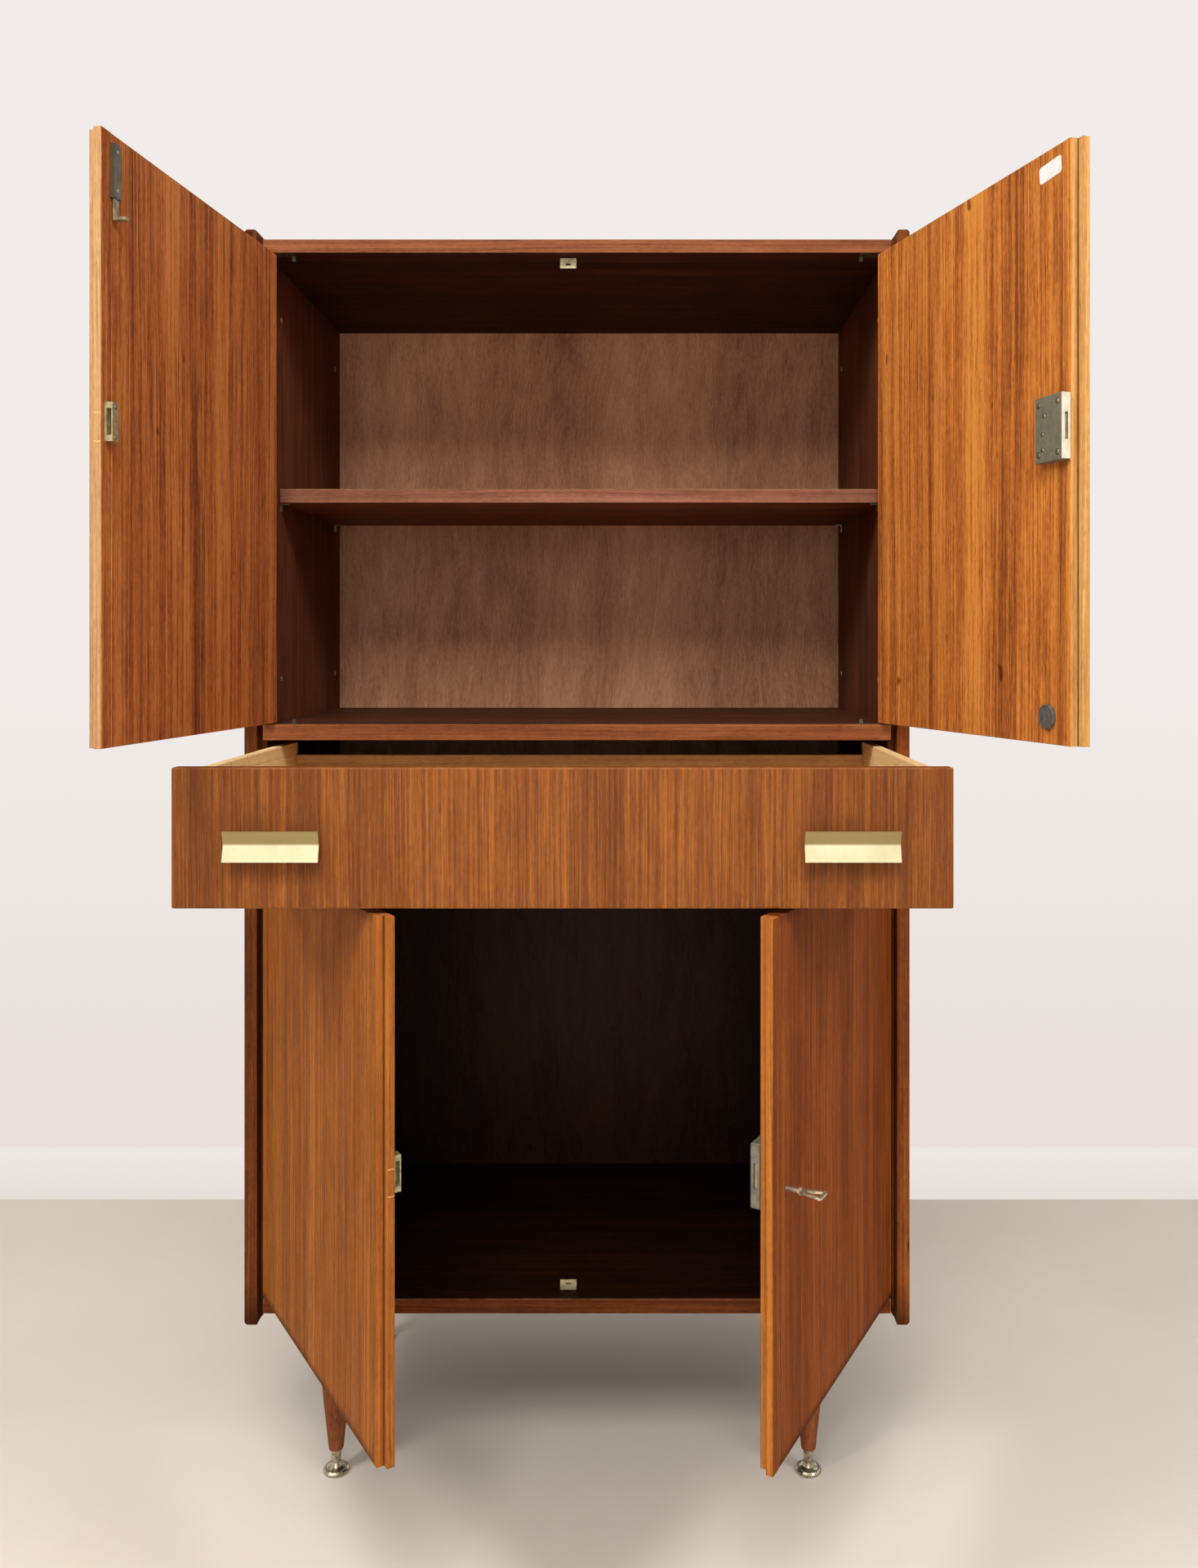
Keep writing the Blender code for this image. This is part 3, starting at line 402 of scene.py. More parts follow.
def wood(node, tones, stripes, lay="up", seed=0.0, wear_and_highlight=0.3, polish=0.5, sheen=0.03,
         second=None, inner=None, dark_ends=0.0, step=None):
    """Gives a node its own wood, and where second is given, another one in a mask, which inner
    narrows. Dark ends give how far up and down a piece is darkened towards its ends, and step is the
    x and y of a corner that gets a dark line of painted shade."""
    material, sketch, shader = new_material(node + "_wood")
    place = shut_place(sketch, nodes[node]["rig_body"])
    grain = laid_grain(sketch, place, lay, seed)
    colour, height, gloss = fill_wood(sketch, grain, tones, stripes)[:3]
    if second:
        other = fill_wood(sketch, grain, *second[:2])
        mask = between(sketch, place, *second[2:])
        if inner:
            mask = sketch.maths("MULTIPLY", mask, between(sketch, place, *inner))
        colour = sketch.mix(mask, colour, other[0])
    low, high = shut_box(node)
    edge_wear_and_highlight = sketch.first("ShaderNodeGroup", {"Vector": place, "Low": low, "High": high},
                        node_tree=edge_wear_and_highlight_group)
    # Edges are lightened, partly as wear and partly as a painted highlight for the light an edge
    # catches.
    colour = sketch.mix(sketch.maths("MULTIPLY", edge_wear_and_highlight, wear_and_highlight), colour, srgb(*EDGE_WEAR_AND_HIGHLIGHT))
    # Darker towards the piece's bottom end, and a little towards its top end.
    if dark_ends:
        level = sketch.parts(place)["Z"]
        foot = sketch.span(level, low.z + dark_ends, low.z)
        crown = sketch.span(level, high.z - dark_ends, high.z, 0.0, 0.6)
        colour = sketch.mix(sketch.maths("MAXIMUM", foot, crown), colour, END_DARKENING, 'MULTIPLY')
    # Painted shade: a dark line along the inner corner of the strip's step, where shade falls.
    if step:
        parts = sketch.parts(place)
        away = [sketch.maths("SUBTRACT", parts[axis], step[axis]) for axis in (0, 1)]
        near = sketch.span(sketch.vector("LENGTH", sketch.joined(*away)), 0.0024, 0.0004)
        colour = sketch.mix(sketch.maths("MULTIPLY", near, 0.8), colour, srgb(*STEP_CORNER_SHADE))
    rough = sketch.maths("ADD", polish - 0.1, sketch.maths("MULTIPLY", gloss, 0.2))
    sketch.feed(shader, {"Base Color": colour, "Roughness": rough, "IOR": 1.45,
                         "Normal": sketch.bump(height, 0.12, 0.0004),
                         "Specular IOR Level": sheen})
    give_material(nodes[node].data, material)


print("wood helper ready")

# %% [markdown]
# The cabinet is not one wood but a family. The upper doors carry the striped veneer, painted
# brighter on the right one, where the light falls, and the lower doors a quieter one, which also
# stands in for the outsides of the upper doors, as the photograph hides those; the right lower door
# is painted darker as shade. The drawer front has fine straight lines in broad soft zones. The front
# edges of the boards are a plainer, redder wood laid sideways, and the bottom board's edge is
# painted dark with the shadow of the drawer and doors. The inside is stained brown, with painted
# shade that is darkest under the top board and nearly black at the bottom, and lightest on the
# shelf. The left side panel is painted darker than the right as shade. The drawer box is bare pale
# timber, as is usual where no one looks; its sides are painted as a lit copy of it, and its back and
# bottom as a shaded copy.

# %% Wood tones
def figure(*values):
    """What the timber group is told: its stripes, figure, lines, pores, drift and marks."""
    return dict(zip(("Stripe Width", "Zones", "Bands", "Figure Length", "Lines", "Pores",
                     "Wander", "Waver", "Mottle", "Fleck", "Streaks", "Knots"), values))


STRIPED = figure(0.0115, 0.35, 0.7, 7.0, 0.75, 0.5, 0.0015, 0.0012, 0.2, 0.26, 0.45, 0.9)
QUIET = figure(0.010, 0.3, 0.25, 5.0, 0.85, 0.5, 0.0015, 0.0008, 0.2, 0.2, 0.15)
STRAIGHT = figure(0.026, 0.2, 0.25, 4.0, 0.65, 0.35, 0.0012, 0.0003, 0.16, 0.12, 0.1)
PLAIN = figure(0.007, 0.3, 0.4, 0.6, 0.5, 0.5, 0.003, 0.002, 0.25, 0.2, 0.2)
# Partly painted light and shade: the right upper door is painted brighter, where light falls, and
# the right lower door darker.
door_tones = {"upper_left": ((192, 118, 62), (160, 89, 47), (110, 57, 33)),
              "upper_right": ((213, 139, 64), (180, 105, 47), (124, 67, 32)),
              "lower_left": ((178, 107, 46), (147, 85, 35), (114, 63, 27)),
              "lower_right": ((156, 84, 33), (126, 63, 22), (98, 48, 18))}
door_stripes = {door: STRIPED if "upper" in door else QUIET for door in DOORS}
outer_tones = ((174, 104, 46), (145, 83, 36), (112, 62, 27))
drawer_tones = ((164, 96, 37), (122, 68, 28), (92, 48, 23))
# The bottom board's edge tones are painted dark as the shadow of the drawer and doors.
edge_tones = {"top_board": ((152, 94, 62), (130, 77, 48), (101, 56, 36)),
              "divider_board": ((168, 104, 64), (145, 86, 51), (112, 64, 39)),
              "bottom_board": ((111, 58, 28), (86, 43, 21), (63, 31, 16)),
              "shelf": ((162, 109, 86), (141, 92, 73), (111, 69, 54))}
inner_tones = ((134, 79, 53), (98, 54, 35), (64, 34, 22))
# Painted shade: the inner faces get darker tones where less light reaches, darkest under the top
# board and nearly black in the lower compartment, and lightest on the shelf.
deep_tones = ((60, 33, 22), (42, 22, 14), (27, 14, 9))
inside_tones = {"top_board": ((82, 46, 34), (58, 32, 24), (40, 21, 16)),
                "divider_board": ((102, 60, 40), (74, 41, 27), (48, 26, 17)),
                "bottom_board": deep_tones,
                "shelf": ((160, 97, 66), (118, 67, 44), (78, 43, 27))}
# Painted shade: the left panel is toned darker than the right one.
side_tones = {"side_panel_left": ((128, 71, 34), (105, 55, 27), (75, 39, 20)),
              "side_panel_right": ((150, 85, 40), (124, 66, 32), (88, 46, 24))}
leg_tones = ((152, 92, 58), (126, 72, 44), (92, 50, 32))
# Painted light and shade: the drawer's sides get a brightened lit copy of the bare timber, and its
# back and bottom a darker shaded copy.
bare_tones = ((254, 226, 170), (247, 214, 156), (228, 188, 132))
drawer_box_shaded_tones = ((224, 178, 120), (204, 157, 102), (170, 124, 78))

EDGE = 0.0012
BEYOND = 1.0
for index, door in enumerate(DOORS):
    upper = "upper" in door
    outside = (outer_tones, QUIET, "Y", -BEYOND, shut_box("door_" + door)[0].y + EDGE)
    wood("door_" + door, door_tones[door], door_stripes[door], seed=1.0 + index, wear_and_highlight=0.2,
         second=outside if upper else None, dark_ends=0.0 if upper else 0.012)
wood("drawer_front", drawer_tones, STRAIGHT, seed=5.3, sheen=0.15)
for index, (board, tones) in enumerate(edge_tones.items()):
    low, high = shut_box(board)
    wood(board, tones, PLAIN, lay="sideways", seed=7.0 + index,
         second=(inside_tones[board], PLAIN, "Y", low.y + EDGE, high.y + BEYOND),
         inner=("Z", low.z - BEYOND, high.z - EDGE) if board == "top_board" else None)
# The dust board gets the same painted shade as the lower compartment.
wood("dust_board", deep_tones, PLAIN, lay="sideways", seed=12.0)
inside_low, inside_high = middle_x - inner_half - EDGE, middle_x + inner_half + EDGE
for index, (side, tones) in enumerate(side_tones.items()):
    wood(side, tones, STRIPED, seed=14.0 + index, dark_ends=0.06,
         second=(inner_tones, STRAIGHT, "X", inside_low, inside_high))
for index, leg in enumerate(sorted(name for name in nodes if name.startswith("leg_"))):
    wood(leg, leg_tones, PLAIN, seed=17.0 + index, wear_and_highlight=0.0)
for index, side in enumerate(("drawer_side_left", "drawer_side_right", "drawer_runner_left",
                              "drawer_runner_right")):
    wood(side, bare_tones, PLAIN, lay="deep", seed=22.0 + index, wear_and_highlight=0.15, polish=0.6)
for index, board in enumerate(("drawer_back", "drawer_bottom")):
    wood(board, drawer_box_shaded_tones, PLAIN, lay="sideways", seed=27.0 + index, wear_and_highlight=0.15, polish=0.6)
print("woods given:", sum(1 for m in bpy.data.materials if m.name.endswith("_wood")))

# %% [markdown]
# The strips on the doors' free edges are solid wood under the veneer, pale on the upper doors:
# the door's faces run over them, and only the stepped edge shows it. The material tells the two
# apart by depth in the shut door, where the faces are the first and last fraction of a
# millimetre.

# %% Lippings under the veneer
lipping_tones = {"upper_left": ((200, 160, 114), (180, 139, 96), (153, 111, 72)),
                 "upper_right": ((222, 173, 109), (199, 146, 85), (166, 113, 59)),
                 "lower_left": ((187, 114, 50), (162, 96, 41), (132, 74, 31)),
                 "lower_right": ((194, 122, 52), (170, 103, 45), (140, 80, 34))}
LIPPED = figure(0.005, 0.25, 0.4, 1.0, 0.5, 0.4, 0.002, 0.002, 0.2, 0.2, 0.15)
VENEER = 0.0006


def step_corner(node):
    """The inner corner of a lipping's step, as (x, y) in the shut cabinet."""
    back = opened(nodes[node]["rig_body"]).inverted()
    corners = [back @ vertex.co for vertex in nodes[node].data.vertices]
    low, high = shut_box(node)
    inner = [c for c in corners if min(c.x - low.x, high.x - c.x, c.y - low.y, high.y - c.y) > 0.002]
    if not inner:
        return high.x, high.y
    return (sum(c.x for c in inner) / len(inner), sum(c.y for c in inner) / len(inner))


for index, door in enumerate(DOORS):
    node = "lipping_" + door
    low, high = shut_box(node)
    core = (lipping_tones[door], LIPPED, "Y", low.y + VENEER, high.y - VENEER, 0.0001)
    wood(node, door_tones[door], door_stripes[door], seed=1.0 + index, wear_and_highlight=0.0, second=core,
         step=step_corner(node))
print("lippings given")

# %% [markdown]
# The back is thin plywood. Its face was peeled from the log in one long sheet, so instead of stripes
# it shows wide wandering figure and cloudy patches, paler than the rest. Behind the lower
# compartment its inner face is painted as dark as the boards there, as painted shade.

# %% Back panel
PEELED = figure(0.06, 0.6, 0.45, 0.4, 0.35, 0.4, 0.01, 0.028, 0.3, 0.25, 0.15)
ply_tones = ((212, 158, 124), (184, 132, 100), (142, 96, 72))
dust_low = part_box("dust_board")[0].z
# Below the dust board the back's inner face gets the lower compartment's painted shade.
wood("back_panel", ply_tones, PEELED, seed=31.0, wear_and_highlight=0.0, polish=0.44, sheen=0.12,
     second=(deep_tones, PEELED, "Z", -BEYOND, dust_low),
     inner=("Y", -BEYOND, shut_box("back_panel")[0].y + EDGE))
print("back panel given, dark below", round(dust_low, 3))

# %% [markdown]
# Metals next. The pulls are folded brass sheet under a satin lacquer, with painted shade above the
# fold, where the upper leaf faces down towards the dark floor.
# The locks are zinc-grey, and their bolts and the shelf supports an aged nickel that has gone
# faintly yellow; the lower lock's face plate is a darker copy of the upper one's nickel, as painted
# shade. Hinges and slide bolts are darker, a bronze and an old brass, the keepers and strikes a
# paler brass, and the feet and the key are steel.

# %% Metals
def metal(name, clean, dull, cloud=0.02, specks=0.5, relief=0.1, bare=1.0, satin=0.0,
          above=None):
    """An aged metal. Bare is how much of it is metal rather than tarnish or lacquer, and
    above gives a height and a colour for what lies over it."""
    material, sketch, shader = new_material(name)
    place = sketch.here()
    clean, dull = srgb(*clean), srgb(*dull)
    if above:
        over = sketch.span(sketch.parts(place)["Z"], above[0] - 0.0003, above[0] + 0.0003)
        clean, dull = [sketch.mix(over, tone, srgb(*above[1])) for tone in (clean, dull)]
    values = {"Vector": place, "Clean": clean, "Dull": dull, "Cloud Size": cloud, "Specks": specks}
    group = sketch.node("ShaderNodeGroup", values, node_tree=aged).outputs
    sketch.feed(shader, {"Base Color": group["Color"], "Metallic": bare,
                         "Roughness": sketch.maths("ADD", group["Roughness"], satin),
                         "Normal": sketch.bump(group["Height"], relief, 0.0002)})
    return material


pull_low, pull_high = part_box("drawer_pull_left")
FOLD_Z = pull_low.z + (pull_high.z - pull_low.z) * 0.58
# Painted shade and reflection: the leaf above the fold is coloured darker.
pull_brass = metal("pull_brass", (204, 196, 162), (193, 184, 146), 0.03, 0.1, bare=0.7,
                   satin=0.16, above=(FOLD_Z, (158, 141, 94)))
old_brass = metal("old_brass", (166, 152, 118), (116, 102, 76), 0.008, bare=0.5, satin=0.15)
keeper_brass = metal("keeper_brass", (206, 194, 150), (172, 160, 120), 0.006, bare=0.5,
                     satin=0.15)
strike_brass = metal("strike_brass", (192, 178, 136), (142, 126, 90), 0.006, bare=0.5,
                     satin=0.12)
dark_bronze = metal("dark_bronze", (100, 94, 76), (70, 65, 52), bare=0.6, satin=0.1)
aged_nickel = metal("aged_nickel", (176, 164, 136), (124, 114, 92), 0.01, bare=0.8, satin=0.1)
lock_zinc = metal("lock_zinc", (128, 126, 108), (106, 104, 88), 0.012, 0.7, 0.2, bare=0.3,
                  satin=0.2)
face_nickel = metal("face_nickel", (230, 222, 200), (204, 195, 172), 0.01, 0.3, bare=0.45,
                    satin=0.2)
# A darker copy of face_nickel, as painted shade for the lower lock's face plate.
shaded_face_nickel = metal("shaded_face_nickel", (132, 126, 112), (100, 94, 82), 0.01, bare=0.45, satin=0.25)
key_steel = metal("key_steel", (232, 222, 204), (150, 136, 116), 0.004, 0.4, bare=0.85)
foot_steel = metal("foot_steel", (206, 196, 172), (112, 100, 78), 0.005, 0.6, bare=0.95,
                   satin=-0.04)

metal_of = {"drawer_pull": pull_brass, "keeper": keeper_brass, "pivot": dark_bronze,
            "shelf_support": aged_nickel, "foot": foot_steel, "lock_case": lock_zinc,
            "lock_bolt": aged_nickel, "strike": strike_brass, "slide_housing": dark_bronze,
            "slide_rod": old_brass, "key": key_steel}
for name, node in nodes.items():
    for word, material in metal_of.items():
        if word in name:
            give_material(node.data, material)
            break
print("metals:", [m.name for m in (pull_brass, old_brass, aged_nickel, lock_zinc)])

# %% [markdown]
# What is left is dull stuff: the pad, the painted shade of holes, the painted highlight of the
# kerfs, paper and the floor. Each is two close colours in soft clouds, so one helper makes them all.

# %% Plain clouded stuff and the door pad
def clouded(name, first, second, scale, rough, detail=2.0, roughness=0.5, high=0.7, low=0.3,
            stretch=None):
    """Two colours in soft clouds. Rough is one value, or two to run between."""
    material, sketch, shader = new_material(name)
    place = sketch.here()
    spread = sketch.vector("MULTIPLY", place, stretch) if stretch else place
    cloud = sketch.span(sketch.noise(spread, scale, detail, roughness), low, high)
    if isinstance(rough, tuple):
        rough = sketch.span(cloud, 0.0, 1.0, *rough)
    sketch.feed(shader, {"Base Color": sketch.mix(cloud, srgb(*first), srgb(*second)),
                         "Roughness": rough})
    return material, sketch, shader, place, cloud


pad_grey, sketch, shader, place, cloud = clouded(
    "pad_grey", (70, 66, 62), (96, 90, 84), 220.0, (0.55, 0.75), 3.0, low=0.35)
sketch.feed(shader, {"Normal": sketch.bump(cloud, 0.3, 0.0003)})
give_material(nodes["door_pad"].data, pad_grey)
print("pad given")

# %% [markdown]
# Small fittings are drawn on the shut cabinet and then carried to where their door or drawer
# stands. The helper below bakes the place into the mesh, so that the finished object itself
# sits at the origin like every other piece.

# %% A helper for added pieces
def finished_piece(name, mesh, body, material=None, at_rest=False):
    """Links a mesh that was laid out on the shut cabinet as a piece that rides on a body."""
    if not at_rest:
        mesh.transform(opened(body))
    mesh.name = name
    if material:
        give_material(mesh, material)
    piece = linked(name, mesh)
    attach(piece, body)
    return piece


def corners_of(shape, points):
    return [shape.verts.new(point) for point in points]


def bridge(shape, first, second):
    """Faces between two rings of corners."""
    for i in range(len(first)):
        j = (i + 1) % len(first)
        shape.faces.new((first[i], first[j], second[j], second[i]))


def closed_frame(shape, near_out, near_in, far_out, far_in):
    """Joins two outlines and the two behind them into a frame that is closed all round."""
    for first, second in ((near_out, near_in), (near_in, far_in), (far_in, far_out),
                          (far_out, near_out)):
        bridge(shape, first, second)


def mesh_from(shape):
    mesh = bpy.data.meshes.new("shape")
    bmesh.ops.recalc_face_normals(shape, faces=shape.faces)
    shape.to_mesh(mesh)
    shape.free()
    return mesh


print("piece helper ready")

# %% [markdown]
# Screws repeat, so Geometry Nodes make them. The tree cuts a thin bar out of a low cone and sets
# a copy of this slotted head on every point, each turned to a random angle as a hand-driven
# screw would be. Real copies are made at the end, since instances would be lost in an export.

# %% Screw heads
def set_on_points(sketch, take, head, turn, give):
    """Sets a head on every point, makes the copies real and gives them their material."""
    copies = sketch.first("GeometryNodeInstanceOnPoints",
                          {"Points": take["Geometry"], "Instance": head, "Rotation": turn})
    real = sketch.first("GeometryNodeRealizeInstances", {"Geometry": copies})
    sketch.feed(give, {0: sketch.first("GeometryNodeSetMaterial", {
        "Geometry": real, "Material": take["Material"]})})


def facing_turn(sketch, take):
    return sketch.first("FunctionNodeAlignRotationToVector", {"Vector": take["Facing"]}, axis='Z')


screws, g, take, give = new_group(
    "Screw heads",
    {"Geometry": GEOMETRY, "Head Radius": 0.003, "Head Height": 0.0007, "Slot Width": 0.0008,
     "Facing": VECTOR, "Seed": "NodeSocketInt", "Material": "NodeSocketMaterial"},
    {"Geometry": GEOMETRY}, "GeometryNodeTree")
radius, height = take["Head Radius"], take["Head Height"]
cone = g.first("GeometryNodeMeshCone", {"Vertices": 20, "Depth": height, "Radius Bottom": radius,
                                        "Radius Top": g.maths("MULTIPLY", radius, 0.72)})
bar_size = g.joined(g.maths("MULTIPLY", radius, 3.0), take["Slot Width"], height)
bar = g.first("GeometryNodeMeshCube", {"Size": bar_size})
bar = g.first("GeometryNodeTransform", {"Geometry": bar, "Translation": g.joined(z=height)})
slotted = g.first("GeometryNodeMeshBoolean", {"Mesh 1": cone, "Mesh 2": bar},
                  operation='DIFFERENCE', solver='EXACT')
spin = g.node("FunctionNodeRandomValue", {3: math.tau, "Seed": take["Seed"]}, data_type='FLOAT')
turn = g.first("FunctionNodeAxisAngleToRotation", {"Axis": (0.0, 0.0, 1.0),
                                                   "Angle": spin.outputs[1]})
both = g.first("FunctionNodeRotateRotation", {0: facing_turn(g, take), 1: turn},
               rotation_space='LOCAL')
set_on_points(g, take, slotted, both, give)
print("screw tree:", len(screws.nodes), "nodes")

# %% Growing a repeated fitting from points
def grow(name, group, points, body, settings):
    """Runs a tree on points of the shut cabinet and keeps the result as one plain piece."""
    carry = opened(body)
    mesh = bpy.data.meshes.new(name + "_points")
    mesh.from_pydata([carry @ Vector(point) for point in points], [], [])
    holder = linked(name + "_points", mesh)
    modifier = holder.modifiers.new(group.name, 'NODES')
    modifier.node_group = group
    for item in group.interface.items_tree:
        if item.in_out == 'INPUT' and item.name in settings:
            value = settings[item.name]
            if item.name == "Facing":
                value = carry.to_3x3() @ Vector(value)
            modifier[item.identifier] = value
    graph = bpy.context.evaluated_depsgraph_get()
    grown = bpy.data.meshes.new_from_object(holder.evaluated_get(graph))
    bpy.data.objects.remove(holder, do_unlink=True)
    piece = finished_piece(name, grown, body, at_rest=True)
    print(name, "points:", len(points), "faces:", len(grown.polygons))
    return piece


def screw_row(name, points, body, facing, radius, material, seed):
    settings = {"Head Radius": radius, "Head Height": radius * 0.3, "Slot Width": radius * 0.28,
                "Facing": facing, "Seed": seed, "Material": material}
    return grow(name, screws, points, body, settings)


REAR, UP, DOWN = (0.0, 1.0, 0.0), (0.0, 0.0, 1.0), (0.0, 0.0, -1.0)

# %% [markdown]
# The lock cases are pressed boxes with a screw near each corner and a few rivets that hold the
# works. The screws follow the case's own box, so they stay on it whatever its size.

# %% Lock screws
CASE_SCREW, SMALL_SCREW = 0.0027, 0.0022
CASE_INSET_X, CASE_INSET_Z = 0.0068, 0.0085
STRIKE_INSET, SLIDE_INSET = 0.0045, 0.008
# Each of these screws later gets a dark ring of painted shade round it.
screw_shade_spots = []
for level in LEVELS:
    low, high = shut_box(level + "_lock_case")
    spots = [(x, high.y, z) for x in (low.x + CASE_INSET_X, high.x - CASE_INSET_X)
             for z in (low.z + CASE_INSET_Z, high.z - CASE_INSET_Z)]
    body = level + "_right_door"
    screw_row(level + "_lock_screws", spots, body, REAR, CASE_SCREW, aged_nickel, 3)
    screw_shade_spots.append((level + "_lock_grime", spots, body, CASE_SCREW + 0.0004))


def end_spots(node, inset):
    """Two places on the middle line of a fitting's inner face, near its ends."""
    low, high = shut_box(node)
    return [((low.x + high.x) / 2, high.y, z) for z in (low.z + inset, high.z - inset)]


for level in LEVELS:
    body = level + "_left_door"
    spots = end_spots(level + "_strike", STRIKE_INSET)
    screw_row(level + "_strike_screws", spots, body, REAR, SMALL_SCREW, old_brass, 5)
    screw_shade_spots.append((level + "_strike_grime", spots, body, SMALL_SCREW + 0.0003))
    spots = end_spots(level + "_slide_housing", SLIDE_INSET)
    screw_row(level + "_slide_screws", spots, body, REAR, SMALL_SCREW, old_brass, 7)

# %% [markdown]
# Rivets, nails and bushes have domed or ring-shaped heads, which one more tree makes. It takes a
# flattened ball, or a ring swept round a circle, chosen by a switch, so the same tree serves for the
# rivets of the locks, the nails of the back, the rings of the shelf's spare sockets and the dark
# rings of painted shade round screws and rivets.

# %% Domed and ringed heads
heads, g, take, give = new_group(
    "Domed heads",
    {"Geometry": GEOMETRY, "Radius": 0.002, "Rise": 0.0008, "Ringed": "NodeSocketBool",
     "Facing": VECTOR, "Material": "NodeSocketMaterial"},
    {"Geometry": GEOMETRY}, "GeometryNodeTree")
radius, rise = take["Radius"], take["Rise"]
ball = g.first("GeometryNodeMeshUVSphere", {"Segments": 14, "Rings": 8, "Radius": radius})
flat = g.joined(1.0, 1.0, g.maths("DIVIDE", rise, radius))
dome = g.first("GeometryNodeTransform", {"Geometry": ball, "Scale": flat})
track, wire = [g.first("GeometryNodeCurvePrimitiveCircle", {"Resolution": steps, "Radius": size},
                       mode='RADIUS') for steps, size in ((20, radius), (8, rise))]
ring = g.first("GeometryNodeCurveToMesh", {"Curve": track, "Profile Curve": wire})
choice = g.node("GeometryNodeSwitch", {"Switch": take["Ringed"], "True": ring, "False": dome},
                input_type='GEOMETRY').outputs["Output"]
set_on_points(g, take, choice, facing_turn(g, take), give)


def head_row(name, points, body, facing, radius, rise, material,
             ringed=False):
    settings = {"Radius": radius, "Rise": rise, "Ringed": ringed, "Facing": facing,
                "Material": material}
    return grow(name, heads, points, body, settings)


print("head tree:", len(heads.nodes), "nodes")

# %% Painted shade of holes and round screws
hole_shade = clouded("painted_hole_shade", (14, 9, 6), (26, 17, 12), 300.0, 0.9)[0]
for name, spots, body, radius in screw_shade_spots:
    head_row(name, spots, body, REAR, radius, 0.00025, hole_shade, ringed=True)

# %% Lock rivets
for level in LEVELS:
    low, high = shut_box(level + "_lock_case")
    body = level + "_right_door"
    spots = [(low.x + 0.030, high.y, high.z - 0.0205), (low.x + 0.033, high.y, low.z + 0.030),
             (low.x + 0.033, high.y, low.z + 0.0135)]
    # A dark ring of painted shade round each rivet.
    head_row(level + "_rivet_shade", spots, body, REAR, 0.0025, 0.0002, hole_shade, ringed=True)
    head_row(level + "_lock_rivets", spots, body, REAR, 0.0019, 0.0006, foot_steel)

# %% [markdown]
# A rim lock has a thin face plate on the door's edge, with a slot that the bolt slides through.
# It is a frame: an outer outline, an inner one a little larger than the bolt, and both again
# behind them. The four rings of corners are bridged all round, and the long edges are broken.

# %% Lock face plates
def framed_plate(outer_low, outer_high, hole_low, hole_high, near_x, far_x):
    """A flat frame across X with a rectangular hole; corners are given as (y, z)."""
    shape = bmesh.new()
    rings = []
    for x in (near_x, far_x):
        for low, high in ((outer_low, outer_high), (hole_low, hole_high)):
            corners = [(low[0], low[1]), (high[0], low[1]), (high[0], high[1]), (low[0], high[1])]
            rings.append(corners_of(shape, [(x, y, z) for y, z in corners]))
    closed_frame(shape, *rings)
    edges = [edge for edge in shape.edges if edge.calc_length() > 0.01]
    bmesh.ops.bevel(shape, geom=edges, offset=0.00015, segments=1, affect='EDGES')
    return mesh_from(shape)


PLATE_THICK, BOLT_ROOM = 0.0008, 0.0004
# The lower plate gets the darker copy: painted shade.
for level, plating in (("upper", face_nickel), ("lower", shaded_face_nickel)):
    low, high = shut_box(level + "_lock_case")
    bolt_low, bolt_high = shut_box(level + "_lock_bolt")
    plate = framed_plate((low.y + 0.0003, low.z + 0.0005), (high.y, high.z - 0.0005),
                         (bolt_low.y - BOLT_ROOM, bolt_low.z - BOLT_ROOM),
                         (bolt_high.y + BOLT_ROOM, bolt_high.z + BOLT_ROOM),
                         low.x - PLATE_THICK, low.x)
    piece = finished_piece(level + "_lock_face", plate, level + "_right_door", plating)
    print(piece.name, "faces:", len(plate.polygons))

# %% [markdown]
# The door halves of the hinges are thin plates at the ends of each door. Each starts as a flat
# box, and a small bevel breaks its edges so that they catch the light. Two screws hold each.

# %% Thin plates
def thin_plate(low, high, edge=0.0002):
    low, high = Vector(low), Vector(high)
    shape = bmesh.new()
    bmesh.ops.create_cube(shape, size=1.0)
    bmesh.ops.scale(shape, vec=high - low, verts=shape.verts)
    bmesh.ops.translate(shape, vec=(low + high) / 2, verts=shape.verts)
    bmesh.ops.bevel(shape, geom=shape.edges[:], offset=edge, segments=2, affect='EDGES')
    return mesh_from(shape)


PLATE_L, PLATE_W, PLATE_RISE, PLATE_SUNK = 0.038, 0.011, 0.0004, 0.0006
PLATE_Y = 0.002 + PLATE_W / 2
PLATE_SCREWS = (0.016, 0.030)
for door in DOORS:
    body = door + "_door"
    low, high = shut_box("door_" + door)
    side = -1 if "left" in door else 1
    outer = low.x if side < 0 else high.x
    mid_y = low.y + PLATE_Y
    xs = sorted((outer - side * 0.0005, outer - side * PLATE_L))
    for end, z, up in (("low", low.z, -1), ("high", high.z, 1)):
        zs = sorted((z - up * PLATE_SUNK, z + up * PLATE_RISE))
        plate = thin_plate((xs[0], mid_y - PLATE_W / 2, zs[0]), (xs[1], mid_y + PLATE_W / 2, zs[1]))
        finished_piece(f"hinge_plate_{door}_{end}", plate, body, old_brass)
    for end, z, facing, seed in (("low", low.z - PLATE_RISE, DOWN, 11),
                                 ("high", high.z + PLATE_RISE, UP, 13)):
        spots = [(outer - side * reach, mid_y, z) for reach in PLATE_SCREWS]
        screw_row(f"hinge_screws_{door}_{end}", spots, body, facing, SMALL_SCREW, old_brass, seed)

# %% [markdown]
# The other halves of the hinges are let into the boards and were made with the solids. They and
# the keepers only lack their screws: some face up, on the lower boards, and the others down.

